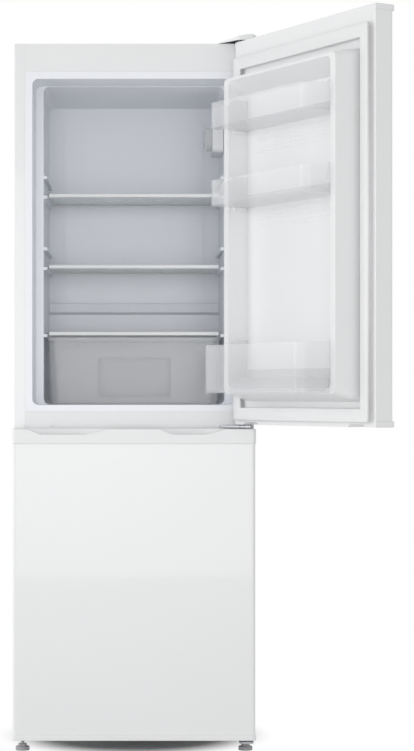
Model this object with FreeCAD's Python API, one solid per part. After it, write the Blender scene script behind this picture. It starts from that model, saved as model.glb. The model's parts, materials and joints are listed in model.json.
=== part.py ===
import FreeCAD, Part
import math
import os

Vector = FreeCAD.Vector

# A free-standing refrigerator with a bottom freezer, doors hung on the right.
# X runs across the front, Y from the front to the back, Z up from the floor.
# While it is built, X = 0 is the cabinet's middle and Y = 0 the front of the door skins.

# ---------------------------------------------------------------- overall sizes (mm, degrees)
CABINET_WIDTH = 547.0
CABINET_HEIGHT = 1614.0
CABINET_DEPTH = 500.0
BASE_HEIGHT = 30.0
SHEET = 1.0
PLASTIC = 2.5
LINER_WALL = 2.0
SIDE_FLANGE = 25.0
SIDE_BEND = 3.0
FIT_GAP = 0.2

# ---------------------------------------------------------------- doors
DOOR_THICKNESS = 45.0
SEAL_GAP = 13.5
DOOR_FLOOR_GAP = 35.0
FREEZER_DOOR_HEIGHT = 702.0
DOOR_SPACING = 9.5
FRIDGE_DOOR_DROP = 3.0
DOOR_EDGE_RADIUS = 7.0
DOOR_HEM = 14.0
CAP_SIDE_OVERHANG = 1.5
CAP_FRONT_OVERHANG = 4.5
CAP_RIM = 13.0
CAP_EDGE = 2.5
CAP_LIP = 3.0
TRIM_HEIGHT = 34.0
FRIDGE_DOOR_OPEN = 118.5

GASKET_WIDTH = 28.0
GASKET_NECK = 12.0
GASKET_BULB = 8.0
GASKET_CLEARANCE = 0.5
GASKET_ROUND = 3.0
GASKET_SIDE_MARGIN = 10.5
GASKET_NEAR_MARGIN = 10.5
GASKET_FAR_MARGIN = 38.0
GASKET_FOOT_MARGIN = 20.0

# ---------------------------------------------------------------- grips moulded in the door caps
GRIP_INNER_END = 56.0
GRIP_OUTER_END = 241.0
GRIP_HINGE_END = 211.0
GRIP_INNER_SLOPE = 49.0
GRIP_OUTER_SLOPE = 29.0
GRIP_DIP = 13.0
GRIP_DEPTH = 26.0
GRIP_REACH = 24.0
GRIP_FRONT_WALL = 4.0
GRIP_ROUND = 8.0
UNDER_GRIP_LENGTH = 68.0
UNDER_GRIP_SLOPE = 12.0

# ---------------------------------------------------------------- hinges
HINGE_INSET = 17.0
HINGE_SETBACK = 24.0
PIN_DIAMETER = 8.0
PIN_CLEARANCE = 0.05
PIN_REACH = 18.0
BUSH_DIAMETER = 14.0
BUSH_LENGTH = 21.0
BUSH_END = 2.0
BUSH_FLANGE = 1.2
BUSH_FLANGE_DIAMETER = 20.0
HINGE_PLATE = 4.0
HINGE_PLATE_REACH = 60.0
HINGE_NOSE = 14.0
HINGE_PLATE_EDGE = 12.0
FOOT_BRACKET_REACH = 20.0
TOP_PLATE = 3.0
TOP_PLATE_REACH = 30.0
TOP_BRACKET_DEPTH = 36.0
HINGE_COVER_HEIGHT = 13.2
HINGE_COVER_WALL = 1.5
HINGE_COVER_REACH = 65.0
HINGE_COVER_NOSE = 21.0
HINGE_COVER_SIDE = 20.0
HINGE_COVER_FRONT = 18.0
HINGE_COVER_REAR = 46.0
HINGE_COVER_CORNER = 10.0
SCREW_DIAMETER = 5.0
SCREW_HEAD = 10.0
SCREW_HEAD_HEIGHT = 3.0
LEAF_DROP = 9.0
LEAF_HEIGHT = 18.0
LEAF_THICKNESS = 3.0
LEAF_REACH = 62.0
LEAF_SCREW_DROP = 3.6
LEAF_SCREW_SPACING = 32.0
SPARE_HOLE_X = 190.0
SPARE_HOLE_DROP = 2.0
PLUG_STEM = 2.5
PLUG_HEAD = 4.5
PLUG_HEAD_HEIGHT = 2.0

# ---------------------------------------------------------------- refrigerator compartment
FRIDGE_FLANGE = 16.7
FASCIA_HEIGHT = 63.0
FRIDGE_SILL = 44.0
SILL_FLANGE = 14.8
RACK_ZONE = 120.0
RACK_ZONE_TAPER = 3.0
SHELF_ZONE_STEP = 17.3
SHELF_ZONE_TAPER = 1.5
SHELF_ZONE_DEPTH = 300.0
CEILING_FALL = 10.0
FLOOR_RISE = 1.0
LINER_CORNER = 14.0
COLD_PANEL_SIDE = 40.0
COLD_PANEL_RAISE = 4.0
COLD_PANEL_CORNER = 30.0
COLD_PANEL_TOP_GAP = 26.0
GUTTER_HEIGHT = 28.0
GUTTER_ABOVE_COVER = 52.0
GUTTER_REACH = 15.0

TOP_SHELF_SPACE = 250.3
LOWER_SHELF_SHARE = 0.4846
CRISPER_COVER_HEIGHT = 960.0
SPARE_LEDGE_RISE = 46.0
LEDGE_REACH = 9.0
LEDGE_THICKNESS = 7.0
GLASS_THICKNESS = 4.0
GLASS_SIDE_GAP = 1.2
SHELF_FRONT_GAP = 17.0
SHELF_DEPTH = 268.0
TRIM_HEIGHT_FRONT = 9.0
TRIM_DEPTH_FRONT = 15.0
TRIM_HEIGHT_REAR = 16.0
TRIM_DEPTH_REAR = 10.0
TRIM_LIP = 2.0
TRIM_BITE = 8.0

# ---------------------------------------------------------------- crisper drawer
CRISPER_SIDE_GAP = 5.0
CRISPER_FLOOR_GAP = 0.3
CRISPER_COVER_GAP = 8.0
CRISPER_DEPTH = 252.0
CRISPER_WALL = 2.5
CRISPER_DRAFT = 7.0
CRISPER_CORNER = 16.0
CRISPER_RIM = 4.0
CRISPER_RIM_HEIGHT = 6.0
CRISPER_GRIP_WIDTH = 175.0
CRISPER_GRIP_TOP = 45.0
CRISPER_GRIP_DEPTH = 14.0
CRISPER_GRIP_FOOT = 14.0
CRISPER_GRIP_RADIUS = 10.0

# ---------------------------------------------------------------- lamp and thermostat housing
HOUSING_REACH = 26.0
HOUSING_LENGTH = 130.0
HOUSING_HEIGHT = 62.0
HOUSING_FRONT = 222.0
HOUSING_DROP = 116.3
HOUSING_ROUND = 12.0
HOUSING_WALL = 2.0
LENS_REACH = 42.0
LENS_LENGTH = 58.0
LENS_HEIGHT = 50.0
LENS_WALL = 2.0
LENS_SETBACK = 6.0
LENS_ROUND = 16.0
LENS_CORNER = 4.0
LENS_RIBS = 9
LENS_RIB = 1.4
LAMP_RADIUS = 11.0
LAMP_LENGTH = 24.0
LAMP_NECK_SHARE = 0.55
LAMP_NECK_LENGTH = 8.0
LAMP_HOLDER_RADIUS = 8.0
LAMP_HOLDER_LENGTH = 8.0
KNOB_RADIUS = 15.0
KNOB_HEIGHT = 11.0
KNOB_SHAFT = 5.0
KNOB_SEAT_GAP = 0.3
KNOB_GRIP_WIDTH = 6.0
KNOB_GRIP_HEIGHT = 3.0
SWITCH_DROP = 64.3
SWITCH_SETBACK = 36.0
SWITCH_RADIUS = 5.0
SWITCH_REACH = 13.0
SWITCH_TRAVEL = 4.0
SWITCH_SOCKET = 8.0
SWITCH_SOCKET_DEPTH = 22.0

# ---------------------------------------------------------------- door liner and balconies
PLUG_HEIGHT = 62.0
PLUG_SIDE_CLEARANCE = 7.8
PLUG_FOOT_CLEARANCE = 8.5
PLUG_TOP_CLEARANCE = 7.5
PLUG_SIDE_DRAFT = 4.0
PLUG_FOOT_DRAFT = 17.0
PLUG_TOP_DRAFT = 11.0
PLUG_CORNER = 12.0
DYKE_WIDTH = 18.0
RECESS_DEPTH = 46.0
RECESS_TOP_MARGIN = 6.0
RECESS_FOOT_MARGIN = 10.0
RECESS_DRAFT = 4.0
RECESS_FOOT_DRAFT = 20.0
RECESS_TOP_DRAFT = 32.0

BALCONY_GAP = 1.2
BALCONY_WALL = 2.5
BALCONY_CORNER = 26.0
BALCONY_REACH = 58.0
RACK_REACH = 73.0
BALCONY_HEIGHT = 56.0
RACK_HEIGHT = 105.0
BALCONY_EAR_RISE = 13.0
BALCONY_EAR_LENGTH = 34.0
BALCONY_DROPS = (135.3, 305.3)
RACK_BASE = 817.0
BOSS_REACH = 4.0
BOSS_LENGTH = 30.0
BOSS_HEIGHT = 6.0

# ---------------------------------------------------------------- freezer compartment
FREEZER_SIDE_FLANGE = 26.5
FREEZER_HEAD = 44.0
FREEZER_SILL = 53.0
FREEZER_HEAD_FLANGE = 14.8
FREEZER_SILL_FLANGE = 16.0
FREEZER_DEPTH = 408.0
FREEZER_TAPER = 7.0
HUMP_HEIGHT = 292.0
HUMP_DEPTH = 270.0
FREEZER_CORNER = 12.0
STEP_CORNER = 10.0
FREEZER_PLUG_HEIGHT = 14.0
FREEZER_PLUG_DRAFT = 3.0

DRAWER_FRONT_GAP = 24.0
DRAWER_SIDE_GAP = 15.0
DRAWER_WALL = 2.5
DRAWER_DRAFT = 6.0
DRAWER_CORNER = 12.0
DRAWER_DEPTH = 340.0
LOW_DRAWER_DEPTH = 228.0
DRAWER_SEAT_GAP = 0.3
DRAWER_TOP_GAP = 8.0
DRAWER_SLOT_WIDTH = 150.0
DRAWER_SLOT_HEIGHT = 26.0
DRAWER_SLOT_DROP = 20.0
DRAWER_SLOT_DEPTH = 14.0
EVAPORATOR_HEIGHTS = (490.0, 292.0)
EVAPORATOR_PLATE = 2.0
EVAPORATOR_TUBE = 7.0
EVAPORATOR_PASSES = 6
EVAPORATOR_LEDGE = 8.0
EVAPORATOR_SETBACK = 44.0
EVAPORATOR_SIDE_GAP = 3.0
EVAPORATOR_BACK_GAP = 30.0

# ---------------------------------------------------------------- base, feet and rollers
BASE_RAIL_HEIGHT = 32.0
BASE_RAIL_WIDTH = 24.0
BASE_FRONT_DEPTH = 30.0
BASE_WALL = 2.0
FOOT_INSET = 18.0
FOOT_SETBACK = 28.0
FOOT_DIAMETER = 32.0
FOOT_DISC = 9.0
FOOT_HEX = 17.0
FOOT_HEX_HEIGHT = 6.0
FOOT_STEM = 8.0
FOOT_STEM_TOP = 50.0
FOOT_BOSS = 16.0
ROLLER_DIAMETER = 34.0
ROLLER_WIDTH = 14.0
ROLLER_INSET = 48.0
ROLLER_SETBACK = 30.0
ROLLER_SIDE_GAP = 0.5
ROLLER_TOP_GAP = 4.0
AXLE_DIAMETER = 6.0
AXLE_HEAD = 10.0
EAR_WALL = 3.0
EAR_HALF = 14.0
EAR_FOOT = 8.0

# ---------------------------------------------------------------- cooling machinery
BAY_HEIGHT = 205.0
BAY_DEPTH = 174.0
MACHINE_PLATE_DEPTH = 150.0
MACHINE_PLATE_SETBACK = 8.0
MACHINE_PLATE_LIP = 6.0
COMPRESSOR_RADIUS = 74.0
COMPRESSOR_HEIGHT = 150.0
COMPRESSOR_OFFSET = 60.0
COMPRESSOR_WALL = 2.0
COMPRESSOR_RIM = 4.0
COMPRESSOR_RIM_SHARE = 0.55
COMPRESSOR_DOME = 34.0
COMPRESSOR_FOOT_LENGTH = 190.0
COMPRESSOR_FOOT_WIDTH = 30.0
COMPRESSOR_FOOT_SPREAD = 104.0
COMPRESSOR_FOOT_PLATE = 3.0
GROMMET_HEIGHT = 12.0
GROMMET_RADIUS = 10.0
RELAY_WIDTH = 52.0
RELAY_HEIGHT = 62.0
RELAY_DEPTH = 34.0
DRIP_TRAY_WIDTH = 150.0
DRIP_TRAY_DEPTH = 110.0
DRIP_TRAY_HEIGHT = 26.0
DRIP_TRAY_WALL = 2.0
DRIP_TRAY_DRAFT = 6.0
CONDENSER_GAP = 9.0
CONDENSER_TUBE = 5.0
CONDENSER_WIRE = 1.6
CONDENSER_PASSES = 13
CONDENSER_WIRES = 12
CONDENSER_SIDE_MARGIN = 42.0
CONDENSER_TOP_MARGIN = 110.0
CONDENSER_FOOT_MARGIN = 60.0
WIRE_OVERRUN = 14.0
TAB_HALF = 8.0
PIPE_DIAMETER = 5.0
PIPE_BEND = 16.0
SUCTION_DIAMETER = 7.0
CAPILLARY_DIAMETER = 2.0
RETURN_GAP = 12.0
CONDENSER_TAIL_DROP = 30.0
DRYER_RADIUS = 9.0
DRYER_LENGTH = 90.0
DRYER_NECK = 3.0
DRYER_SHOULDER = 12.0
DRYER_X = -120.0
DRYER_FOOT = 110.0
RETURN_LEVEL = 80.0
DISCHARGE_LEVEL = 150.0

# ---------------------------------------------------------------- places worked out from the sizes
HALF_WIDTH = CABINET_WIDTH / 2
FRONT = DOOR_THICKNESS + SEAL_GAP
BACK = FRONT + CABINET_DEPTH
FREEZER_DOOR_TOP = DOOR_FLOOR_GAP + FREEZER_DOOR_HEIGHT
FRIDGE_DOOR_BOTTOM = FREEZER_DOOR_TOP + DOOR_SPACING
FRIDGE_DOOR_TOP = CABINET_HEIGHT - FRIDGE_DOOR_DROP
HINGE_X = HALF_WIDTH - HINGE_INSET
HINGE_Y = HINGE_SETBACK

FLANGE_EDGE = HALF_WIDTH - SIDE_FLANGE
FRIDGE_HALF = FLANGE_EDGE - FRIDGE_FLANGE
FRIDGE_TOP = CABINET_HEIGHT - FASCIA_HEIGHT - FRIDGE_FLANGE
FRIDGE_FLOOR = FRIDGE_DOOR_BOTTOM + FRIDGE_SILL
RACK_ZONE_END = FRONT + RACK_ZONE
SHELF_HALF = FRIDGE_HALF - RACK_ZONE_TAPER - SHELF_ZONE_STEP
SHELF_BACK = RACK_ZONE_END + SHELF_ZONE_DEPTH
SHELF_FRONT = RACK_ZONE_END + SHELF_FRONT_GAP
UPPER_SHELF = FRIDGE_TOP - TOP_SHELF_SPACE
LOWER_SHELF = CRISPER_COVER_HEIGHT + LOWER_SHELF_SHARE * (UPPER_SHELF - CRISPER_COVER_HEIGHT)
SHELF_HEIGHTS = (UPPER_SHELF, LOWER_SHELF)
BALCONY_BASES = tuple(FRIDGE_TOP - drop for drop in BALCONY_DROPS)
HOUSING_CENTRE = FRIDGE_TOP - HOUSING_DROP
SWITCH_HEIGHT = FRIDGE_TOP - SWITCH_DROP

FREEZER_HALF = FLANGE_EDGE - FREEZER_SIDE_FLANGE
FREEZER_TOP = FREEZER_DOOR_TOP - FREEZER_HEAD
FREEZER_FLOOR = DOOR_FLOOR_GAP + FREEZER_SILL
FREEZER_BACK = FRONT + FREEZER_DEPTH
HUMP_FACE = FRONT + HUMP_DEPTH
EVAPORATOR_REAR = FREEZER_BACK - EVAPORATOR_BACK_GAP

CROSSBAR_TOP = FRIDGE_FLOOR - SILL_FLANGE
CROSSBAR_BOTTOM = FREEZER_TOP + FREEZER_HEAD_FLANGE
KICK_TOP = FREEZER_FLOOR - FREEZER_SILL_FLANGE
BASE_TOP = BASE_HEIGHT + BASE_RAIL_HEIGHT

BAY_TOP = BASE_HEIGHT + BAY_HEIGHT
BAY_FACE = BACK - BAY_DEPTH
FOAM_FRONT = FRONT + 3.0
FOAM_HALF = HALF_WIDTH - SHEET
FOAM_BACK = BACK - SHEET
FOAM_TOP = CABINET_HEIGHT - PLASTIC

GASKET_FACE = FRONT - GASKET_CLEARANCE
DYKE_CREST = DOOR_THICKNESS + PLUG_HEIGHT
RECESS_FLOOR = DYKE_CREST - RECESS_DEPTH
CREST_HALF = FRIDGE_HALF - PLUG_SIDE_CLEARANCE - PLUG_SIDE_DRAFT
RECESS_HALF = CREST_HALF - DYKE_WIDTH

FOOT_X = HALF_WIDTH - FOOT_INSET
FOOT_Y = FRONT + FOOT_SETBACK
ROLLER_X = HALF_WIDTH - ROLLER_INSET
ROLLER_Y = BACK - ROLLER_SETBACK
ROLLER_Z = ROLLER_DIAMETER / 2

MACHINE_PLATE_LOW = ROLLER_DIAMETER + ROLLER_TOP_GAP
MACHINE_PLATE_TOP = MACHINE_PLATE_LOW + BASE_WALL
MACHINE_PLATE_REAR = BACK - MACHINE_PLATE_SETBACK
COMPRESSOR_FOOT_Z = MACHINE_PLATE_TOP + GROMMET_HEIGHT
COMPRESSOR_Z = COMPRESSOR_FOOT_Z + COMPRESSOR_FOOT_PLATE - 1.0
COMPRESSOR_TOP = COMPRESSOR_Z + COMPRESSOR_HEIGHT
COMPRESSOR_Y = MACHINE_PLATE_REAR - MACHINE_PLATE_DEPTH / 2
CONDENSER_Y = BACK + CONDENSER_GAP
CONDENSER_LOW = BAY_TOP + CONDENSER_FOOT_MARGIN
CONDENSER_HIGH = CABINET_HEIGHT - CONDENSER_TOP_MARGIN
CONDENSER_HALF = HALF_WIDTH - CONDENSER_SIDE_MARGIN
CONDENSER_PITCH = (CONDENSER_HIGH - CONDENSER_LOW) / (CONDENSER_PASSES - 1)
CONDENSER_RUN = CONDENSER_HALF - CONDENSER_PITCH / 2
CONDENSER_TAIL = BAY_TOP - CONDENSER_TAIL_DROP
RETURN_X = -CONDENSER_HALF - RETURN_GAP


# ================================================================ drawing helpers
def on_xy(height):
    """Places drawing points in a level plane at this height."""
    return lambda u, v: Vector(u, v, height)


def on_xz(depth):
    """Places drawing points in an upright plane facing the front, at this depth."""
    return lambda u, v: Vector(u, depth, v)


def on_yz(side):
    """Places drawing points in an upright plane facing the side, at this X."""
    return lambda u, v: Vector(side, u, v)


def rounded_wire(corners, place):
    """A closed wire through corners (u, v, radius), each corner rounded by its radius."""
    count = len(corners)
    stops = []
    for index in range(count):
        before = Vector(corners[index - 1][0], corners[index - 1][1], 0)
        here = Vector(corners[index][0], corners[index][1], 0)
        after = Vector(corners[(index + 1) % count][0], corners[(index + 1) % count][1], 0)
        radius = corners[index][2]
        if radius <= 0:
            stops.append((here, None, here))
            continue
        back = (before - here).normalize()
        ahead = (after - here).normalize()
        half_angle = back.getAngle(ahead) / 2
        trim = radius / math.tan(half_angle)
        bisector = (back + ahead).normalize()
        middle = here + bisector * (radius / math.sin(half_angle) - radius)
        stops.append((here + back * trim, middle, here + ahead * trim))
    edges = []
    for index in range(count):
        start, middle, end = stops[index]
        following = stops[(index + 1) % count][0]
        if middle is not None:
            arc = Part.Arc(place(start.x, start.y), place(middle.x, middle.y), place(end.x, end.y))
            edges.append(arc.toShape())
        if (following - end).Length > 1e-6:
            line = Part.LineSegment(place(end.x, end.y), place(following.x, following.y))
            edges.append(line.toShape())
    return Part.Wire(edges)


def drawn_face(corners, place):
    """A flat face bounded by rounded corners."""
    return Part.Face(rounded_wire(corners, place))


def rectangle(u0, u1, v0, v1, radius=0.0):
    """The four corners of a rectangle with one radius."""
    return [(u0, v0, radius), (u1, v0, radius), (u1, v1, radius), (u0, v1, radius)]


def block(x0, x1, y0, y1, z0, z1):
    """A plain rectangular block between two corners."""
    return Part.makeBox(x1 - x0, y1 - y0, z1 - z0, Vector(x0, y0, z0))


def upright_prism(corners, z0, z1):
    """A plan outline pulled up from z0 to z1."""
    return drawn_face(corners, on_xy(z0)).extrude(Vector(0, 0, z1 - z0))


def facing_prism(corners, y0, y1):
    """A front outline pulled back from y0 to y1."""
    return drawn_face(corners, on_xz(y0)).extrude(Vector(0, y1 - y0, 0))


def sideways_prism(corners, x0, x1):
    """A side outline pulled across from x0 to x1."""
    return drawn_face(corners, on_yz(x0)).extrude(Vector(x1 - x0, 0, 0))


def facing_loft(front_corners, y0, back_corners, y1):
    """A solid that changes from one front outline to another between two depths."""
    sections = [rounded_wire(front_corners, on_xz(y0)), rounded_wire(back_corners, on_xz(y1))]
    return Part.makeLoft(sections, True, True)


def upright_loft(low_corners, z0, high_corners, z1):
    """A solid that changes from one plan outline to another between two heights."""
    sections = [rounded_wire(low_corners, on_xy(z0)), rounded_wire(high_corners, on_xy(z1))]
    return Part.makeLoft(sections, True, True)


def rod(radius, length, start, direction):
    """A round bar."""
    return Part.makeCylinder(radius, length, start, direction)


def ring(outer, inner, length, start, direction):
    """A round tube."""
    return rod(outer, length, start, direction).cut(rod(inner, length, start, direction))


def fused(first, *others):
    """One solid out of several that touch or overlap."""
    return first.multiFuse(list(others)).removeSplitter()


def mirrored(shape):
    """The same shape on the other side of the middle plane."""
    return shape.mirror(Vector(0, 0, 0), Vector(1, 0, 0))


def rounded_edges(shape, radius, chosen):
    """Rounds the edges that the test picks out."""
    edges = [edge for edge in shape.Edges if chosen(edge)]
    return shape.makeFillet(radius, edges)


def bent_path(points, bend):
    """Straight runs joined by tangent arcs of one radius."""
    edges = []
    reached = points[0]
    for index in range(1, len(points) - 1):
        corner = points[index]
        back = (points[index - 1] - corner).normalize()
        ahead = (points[index + 1] - corner).normalize()
        half_angle = back.getAngle(ahead) / 2
        trim = bend / math.tan(half_angle)
        start = corner + back * trim
        end = corner + ahead * trim
        bisector = (back + ahead).normalize()
        middle = corner + bisector * (bend / math.sin(half_angle) - bend)
        if (start - reached).Length > 1e-6:
            edges.append(Part.LineSegment(reached, start).toShape())
        edges.append(Part.Arc(start, middle, end).toShape())
        reached = end
    edges.append(Part.LineSegment(reached, points[-1]).toShape())
    return Part.Wire(edges)


def bent_tube(points, radius, bend):
    """A round tube along straight runs and tangent arcs."""
    path = bent_path(points, bend)
    heading = (points[1] - points[0]).normalize()
    section = Part.Wire([Part.Circle(points[0], heading, radius).toShape()])
    return path.makePipe(Part.Face(section))


# ================================================================ cabinet shell
def side_panel():
    """Left side panel: painted sheet with its front edge folded in towards the opening."""
    outer = -HALF_WIDTH
    inner = outer + SHEET
    edge = -FLANGE_EDGE
    corners = [
        (edge, FRONT, 0),
        (outer, FRONT, SIDE_BEND),
        (outer, BACK, 0),
        (inner, BACK, 0),
        (inner, FRONT + SHEET, SIDE_BEND - SHEET),
        (edge, FRONT + SHEET, 0),
    ]
    return upright_prism(corners, BASE_HEIGHT, CABINET_HEIGHT)


def top_panel():
    """Moulded lid with the fascia that closes the front above the opening."""
    side = FOAM_HALF - FIT_GAP
    front = FRONT + SHEET + FIT_GAP
    rear = BACK - SHEET
    plan = [(-side, front, SIDE_BEND), (side, front, SIDE_BEND), (side, rear, 0), (-side, rear, 0)]
    lid = upright_prism(plan, CABINET_HEIGHT - PLASTIC, CABINET_HEIGHT)
    face = FLANGE_EDGE - FIT_GAP
    foot = CABINET_HEIGHT - FASCIA_HEIGHT
    fascia = block(-face, face, FRONT, FRONT + PLASTIC, foot, CABINET_HEIGHT)
    return fused(lid, fascia)


def back_panel():
    """Sheet that closes the back and folds in over the machine bay."""
    side = FOAM_HALF - FIT_GAP
    inner = BACK - SHEET
    corners = [
        (BACK, CABINET_HEIGHT - PLASTIC - FIT_GAP, 0),
        (inner, CABINET_HEIGHT - PLASTIC - FIT_GAP, 0),
        (inner, BAY_TOP, 0),
        (BAY_FACE, BAY_TOP, 0),
        (BAY_FACE, BASE_TOP, 0),
        (BAY_FACE + SHEET, BASE_TOP, 0),
        (BAY_FACE + SHEET, BAY_TOP - SHEET, 0),
        (BACK, BAY_TOP - SHEET, 0),
    ]
    return sideways_prism(corners, -side, side)


def fridge_cavity(wall):
    """The space inside the refrigerator liner, grown by a wall thickness."""
    top = FRIDGE_TOP + wall
    floor = FRIDGE_FLOOR - wall
    corner = LINER_CORNER + wall
    mouth = rectangle(-FRIDGE_HALF - wall, FRIDGE_HALF + wall, floor, top, corner)
    rack_half = FRIDGE_HALF - RACK_ZONE_TAPER + wall
    rack_end = rectangle(-rack_half, rack_half, floor + FLOOR_RISE, top, corner)
    rack_zone = facing_loft(mouth, FRONT, rack_end, RACK_ZONE_END + wall)
    near = rectangle(-SHELF_HALF - wall, SHELF_HALF + wall, floor + FLOOR_RISE, top - FLOOR_RISE, corner)
    far_half = SHELF_HALF - SHELF_ZONE_TAPER + wall
    far = rectangle(-far_half, far_half, floor + FLOOR_RISE, top - CEILING_FALL, corner)
    shelf_zone = facing_loft(near, RACK_ZONE_END - 1.0, far, SHELF_BACK + wall)
    return rack_zone.fuse(shelf_zone)


def ledge_heights():
    """Undersides of every shelf position on the side walls."""
    heights = [height - GLASS_THICKNESS for height in SHELF_HEIGHTS]
    heights += [height + SPARE_LEDGE_RISE - GLASS_THICKNESS for height in SHELF_HEIGHTS]
    heights.append(CRISPER_COVER_HEIGHT - GLASS_THICKNESS)
    return heights


def ledge(height):
    """One moulded ledge on the left wall, with a round nose, whose top is at this height."""
    root = -SHELF_HALF - LINER_WALL / 2
    tip = -SHELF_HALF + LEDGE_REACH
    start = RACK_ZONE_END + 4.0
    corners = [
        (root, start, 0),
        (tip, start, LEDGE_REACH / 2),
        (tip, SHELF_BACK - LINER_CORNER, 0),
        (root, SHELF_BACK - LINER_CORNER, 0),
    ]
    return upright_prism(corners, height - LEDGE_THICKNESS, height)


def cold_panel():
    """The raised panel on the back wall that the evaporator is bonded behind."""
    half = SHELF_HALF - COLD_PANEL_SIDE
    foot = CRISPER_COVER_HEIGHT + GUTTER_ABOVE_COVER + GUTTER_HEIGHT
    top = FRIDGE_TOP - CEILING_FALL - COLD_PANEL_TOP_GAP
    radius = COLD_PANEL_CORNER
    corners = [(-half, foot, 0), (half, foot, 0), (half, top, radius), (-half, top, radius)]
    return facing_prism(corners, SHELF_BACK - COLD_PANEL_RAISE, SHELF_BACK + LINER_WALL / 2)


def drain_gutter():
    """The sloping gutter under the cold panel that leads melt water to the drain."""
    foot = CRISPER_COVER_HEIGHT + GUTTER_ABOVE_COVER
    top = foot + GUTTER_HEIGHT
    lip = SHELF_BACK - GUTTER_REACH
    corners = [
        (SHELF_BACK + LINER_WALL / 2, foot, 0),
        (lip + 3.0, foot + 6.0, 2.0),
        (lip, top, 1.0),
        (lip + 2.5, top, 0),
        (SHELF_BACK - 6.0, foot + 11.0, 3.0),
        (SHELF_BACK + LINER_WALL / 2, foot + 14.0, 0),
    ]
    half = SHELF_HALF - 2.0
    gutter = sideways_prism(corners, -half, half)
    drain = rod(4.0, GUTTER_HEIGHT, Vector(0, SHELF_BACK - 7.0, foot - 2.0), Vector(0, 0, 1))
    return gutter.cut(drain)


def fridge_liner():
    """Moulded liner: flange, stepped walls, shelf ledges, cold panel and drain gutter."""
    shell = fridge_cavity(LINER_WALL)
    moulding = shell.copy()
    flange_corners = rectangle(
        -FLANGE_EDGE + FIT_GAP, FLANGE_EDGE - FIT_GAP, CROSSBAR_TOP + FIT_GAP, FRIDGE_TOP + FRIDGE_FLANGE - FIT_GAP
    )
    flange = facing_prism(flange_corners, FRONT, FRONT + LINER_WALL)
    body = shell.fuse(flange).cut(fridge_cavity(0.0))
    parts = [ledge(height).common(moulding) for height in ledge_heights()]
    parts += [mirrored(piece) for piece in parts]
    body = fused(body, cold_panel(), drain_gutter().common(moulding), *parts)
    return body.cut(switch_hole(SWITCH_SOCKET))


def freezer_cavity(wall):
    """The space inside the freezer liner, stepped over the machine bay, grown by a wall."""
    half = FREEZER_HALF + wall
    far_half = half - FREEZER_TAPER
    top = FREEZER_TOP + wall
    floor = FREEZER_FLOOR - wall
    corner = FREEZER_CORNER + wall
    mouth = rectangle(-half, half, floor, top, corner)
    far = rectangle(-far_half, far_half, floor, top, corner)
    room = facing_loft(mouth, FRONT, far, FREEZER_BACK + wall)
    face = HUMP_FACE + wall
    step = HUMP_HEIGHT - wall
    hump = [
        (face, BASE_TOP, 0),
        (face, step, STEP_CORNER - wall),
        (BACK, step, 0),
        (BACK, BASE_TOP, 0),
    ]
    return room.cut(sideways_prism(hump, -HALF_WIDTH, HALF_WIDTH))


def evaporator_ledge(height):
    """A ledge on the freezer's left wall that carries a cooling shelf at this height."""
    root = -FREEZER_HALF - LINER_WALL / 2
    tip = -FREEZER_HALF + FREEZER_TAPER + EVAPORATOR_LEDGE
    start = FRONT + 40.0
    stop = HUMP_FACE - 30.0
    corners = [(root, start, 0), (tip, start, 4.0), (tip, stop, 4.0), (root, stop, 0)]
    return upright_prism(corners, height - LEDGE_THICKNESS, height)


def freezer_liner():
    """Moulded liner of the freezer, with the step over the machine bay."""
    shell = freezer_cavity(LINER_WALL)
    flange_corners = rectangle(
        -FLANGE_EDGE + FIT_GAP, FLANGE_EDGE - FIT_GAP, KICK_TOP + FIT_GAP, CROSSBAR_BOTTOM - FIT_GAP
    )
    flange = facing_prism(flange_corners, FRONT, FRONT + LINER_WALL)
    body = shell.fuse(flange).cut(freezer_cavity(0.0))
    ledges = [evaporator_ledge(height).common(shell) for height in EVAPORATOR_HEIGHTS]
    ledges += [mirrored(piece) for piece in ledges]
    return fused(body, *ledges)


def insulation():
    """Foam that fills the cabinet between the liners and the outer panels."""
    corners = [
        (FOAM_FRONT, BASE_TOP, 0),
        (FOAM_FRONT, FOAM_TOP, 0),
        (FOAM_BACK, FOAM_TOP, 0),
        (FOAM_BACK, BAY_TOP, 0),
        (BAY_FACE, BAY_TOP, 0),
        (BAY_FACE, BASE_TOP, 0),
    ]
    foam = sideways_prism(corners, -FOAM_HALF, FOAM_HALF)
    foam = foam.cut(fridge_cavity(LINER_WALL))
    foam = foam.cut(freezer_cavity(LINER_WALL))
    return foam.cut(switch_hole(SWITCH_SOCKET))


def crossbar():
    """Front bar between the two compartments, with holes for the middle hinge screws."""
    side = FLANGE_EDGE - FIT_GAP
    bar = block(-side, side, FRONT, FRONT + LINER_WALL, CROSSBAR_BOTTOM, CROSSBAR_TOP)
    for place in middle_screw_places():
        bar = bar.cut(rod(SCREW_DIAMETER / 2, 3 * LINER_WALL, place, Vector(0, 1, 0)))
    return bar.cut(rod(PLUG_STEM, LINER_WALL, spare_hole(), Vector(0, 1, 0)))


# ================================================================ hinges, pins, covers and screws
def spare_hole():
    """Mouth of the spare hinge hole at the left of the crossbar."""
    return Vector(-SPARE_HOLE_X, FRONT, FRIDGE_DOOR_BOTTOM - SPARE_HOLE_DROP)


def pin(start_height, end_height):
    """Part of a hinge pin on the door axis."""
    start = Vector(HINGE_X, HINGE_Y, start_height)
    return rod(PIN_DIAMETER / 2, end_height - start_height, start, Vector(0, 0, 1))


def middle_screw_places():
    """Where the middle hinge is screwed to the crossbar."""
    height = FREEZER_DOOR_TOP - LEAF_SCREW_DROP
    depth = FRONT - LEAF_THICKNESS
    first = HINGE_X - LEAF_REACH + SCREW_HEAD
    return [Vector(first, depth, height), Vector(first + LEAF_SCREW_SPACING, depth, height)]


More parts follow.
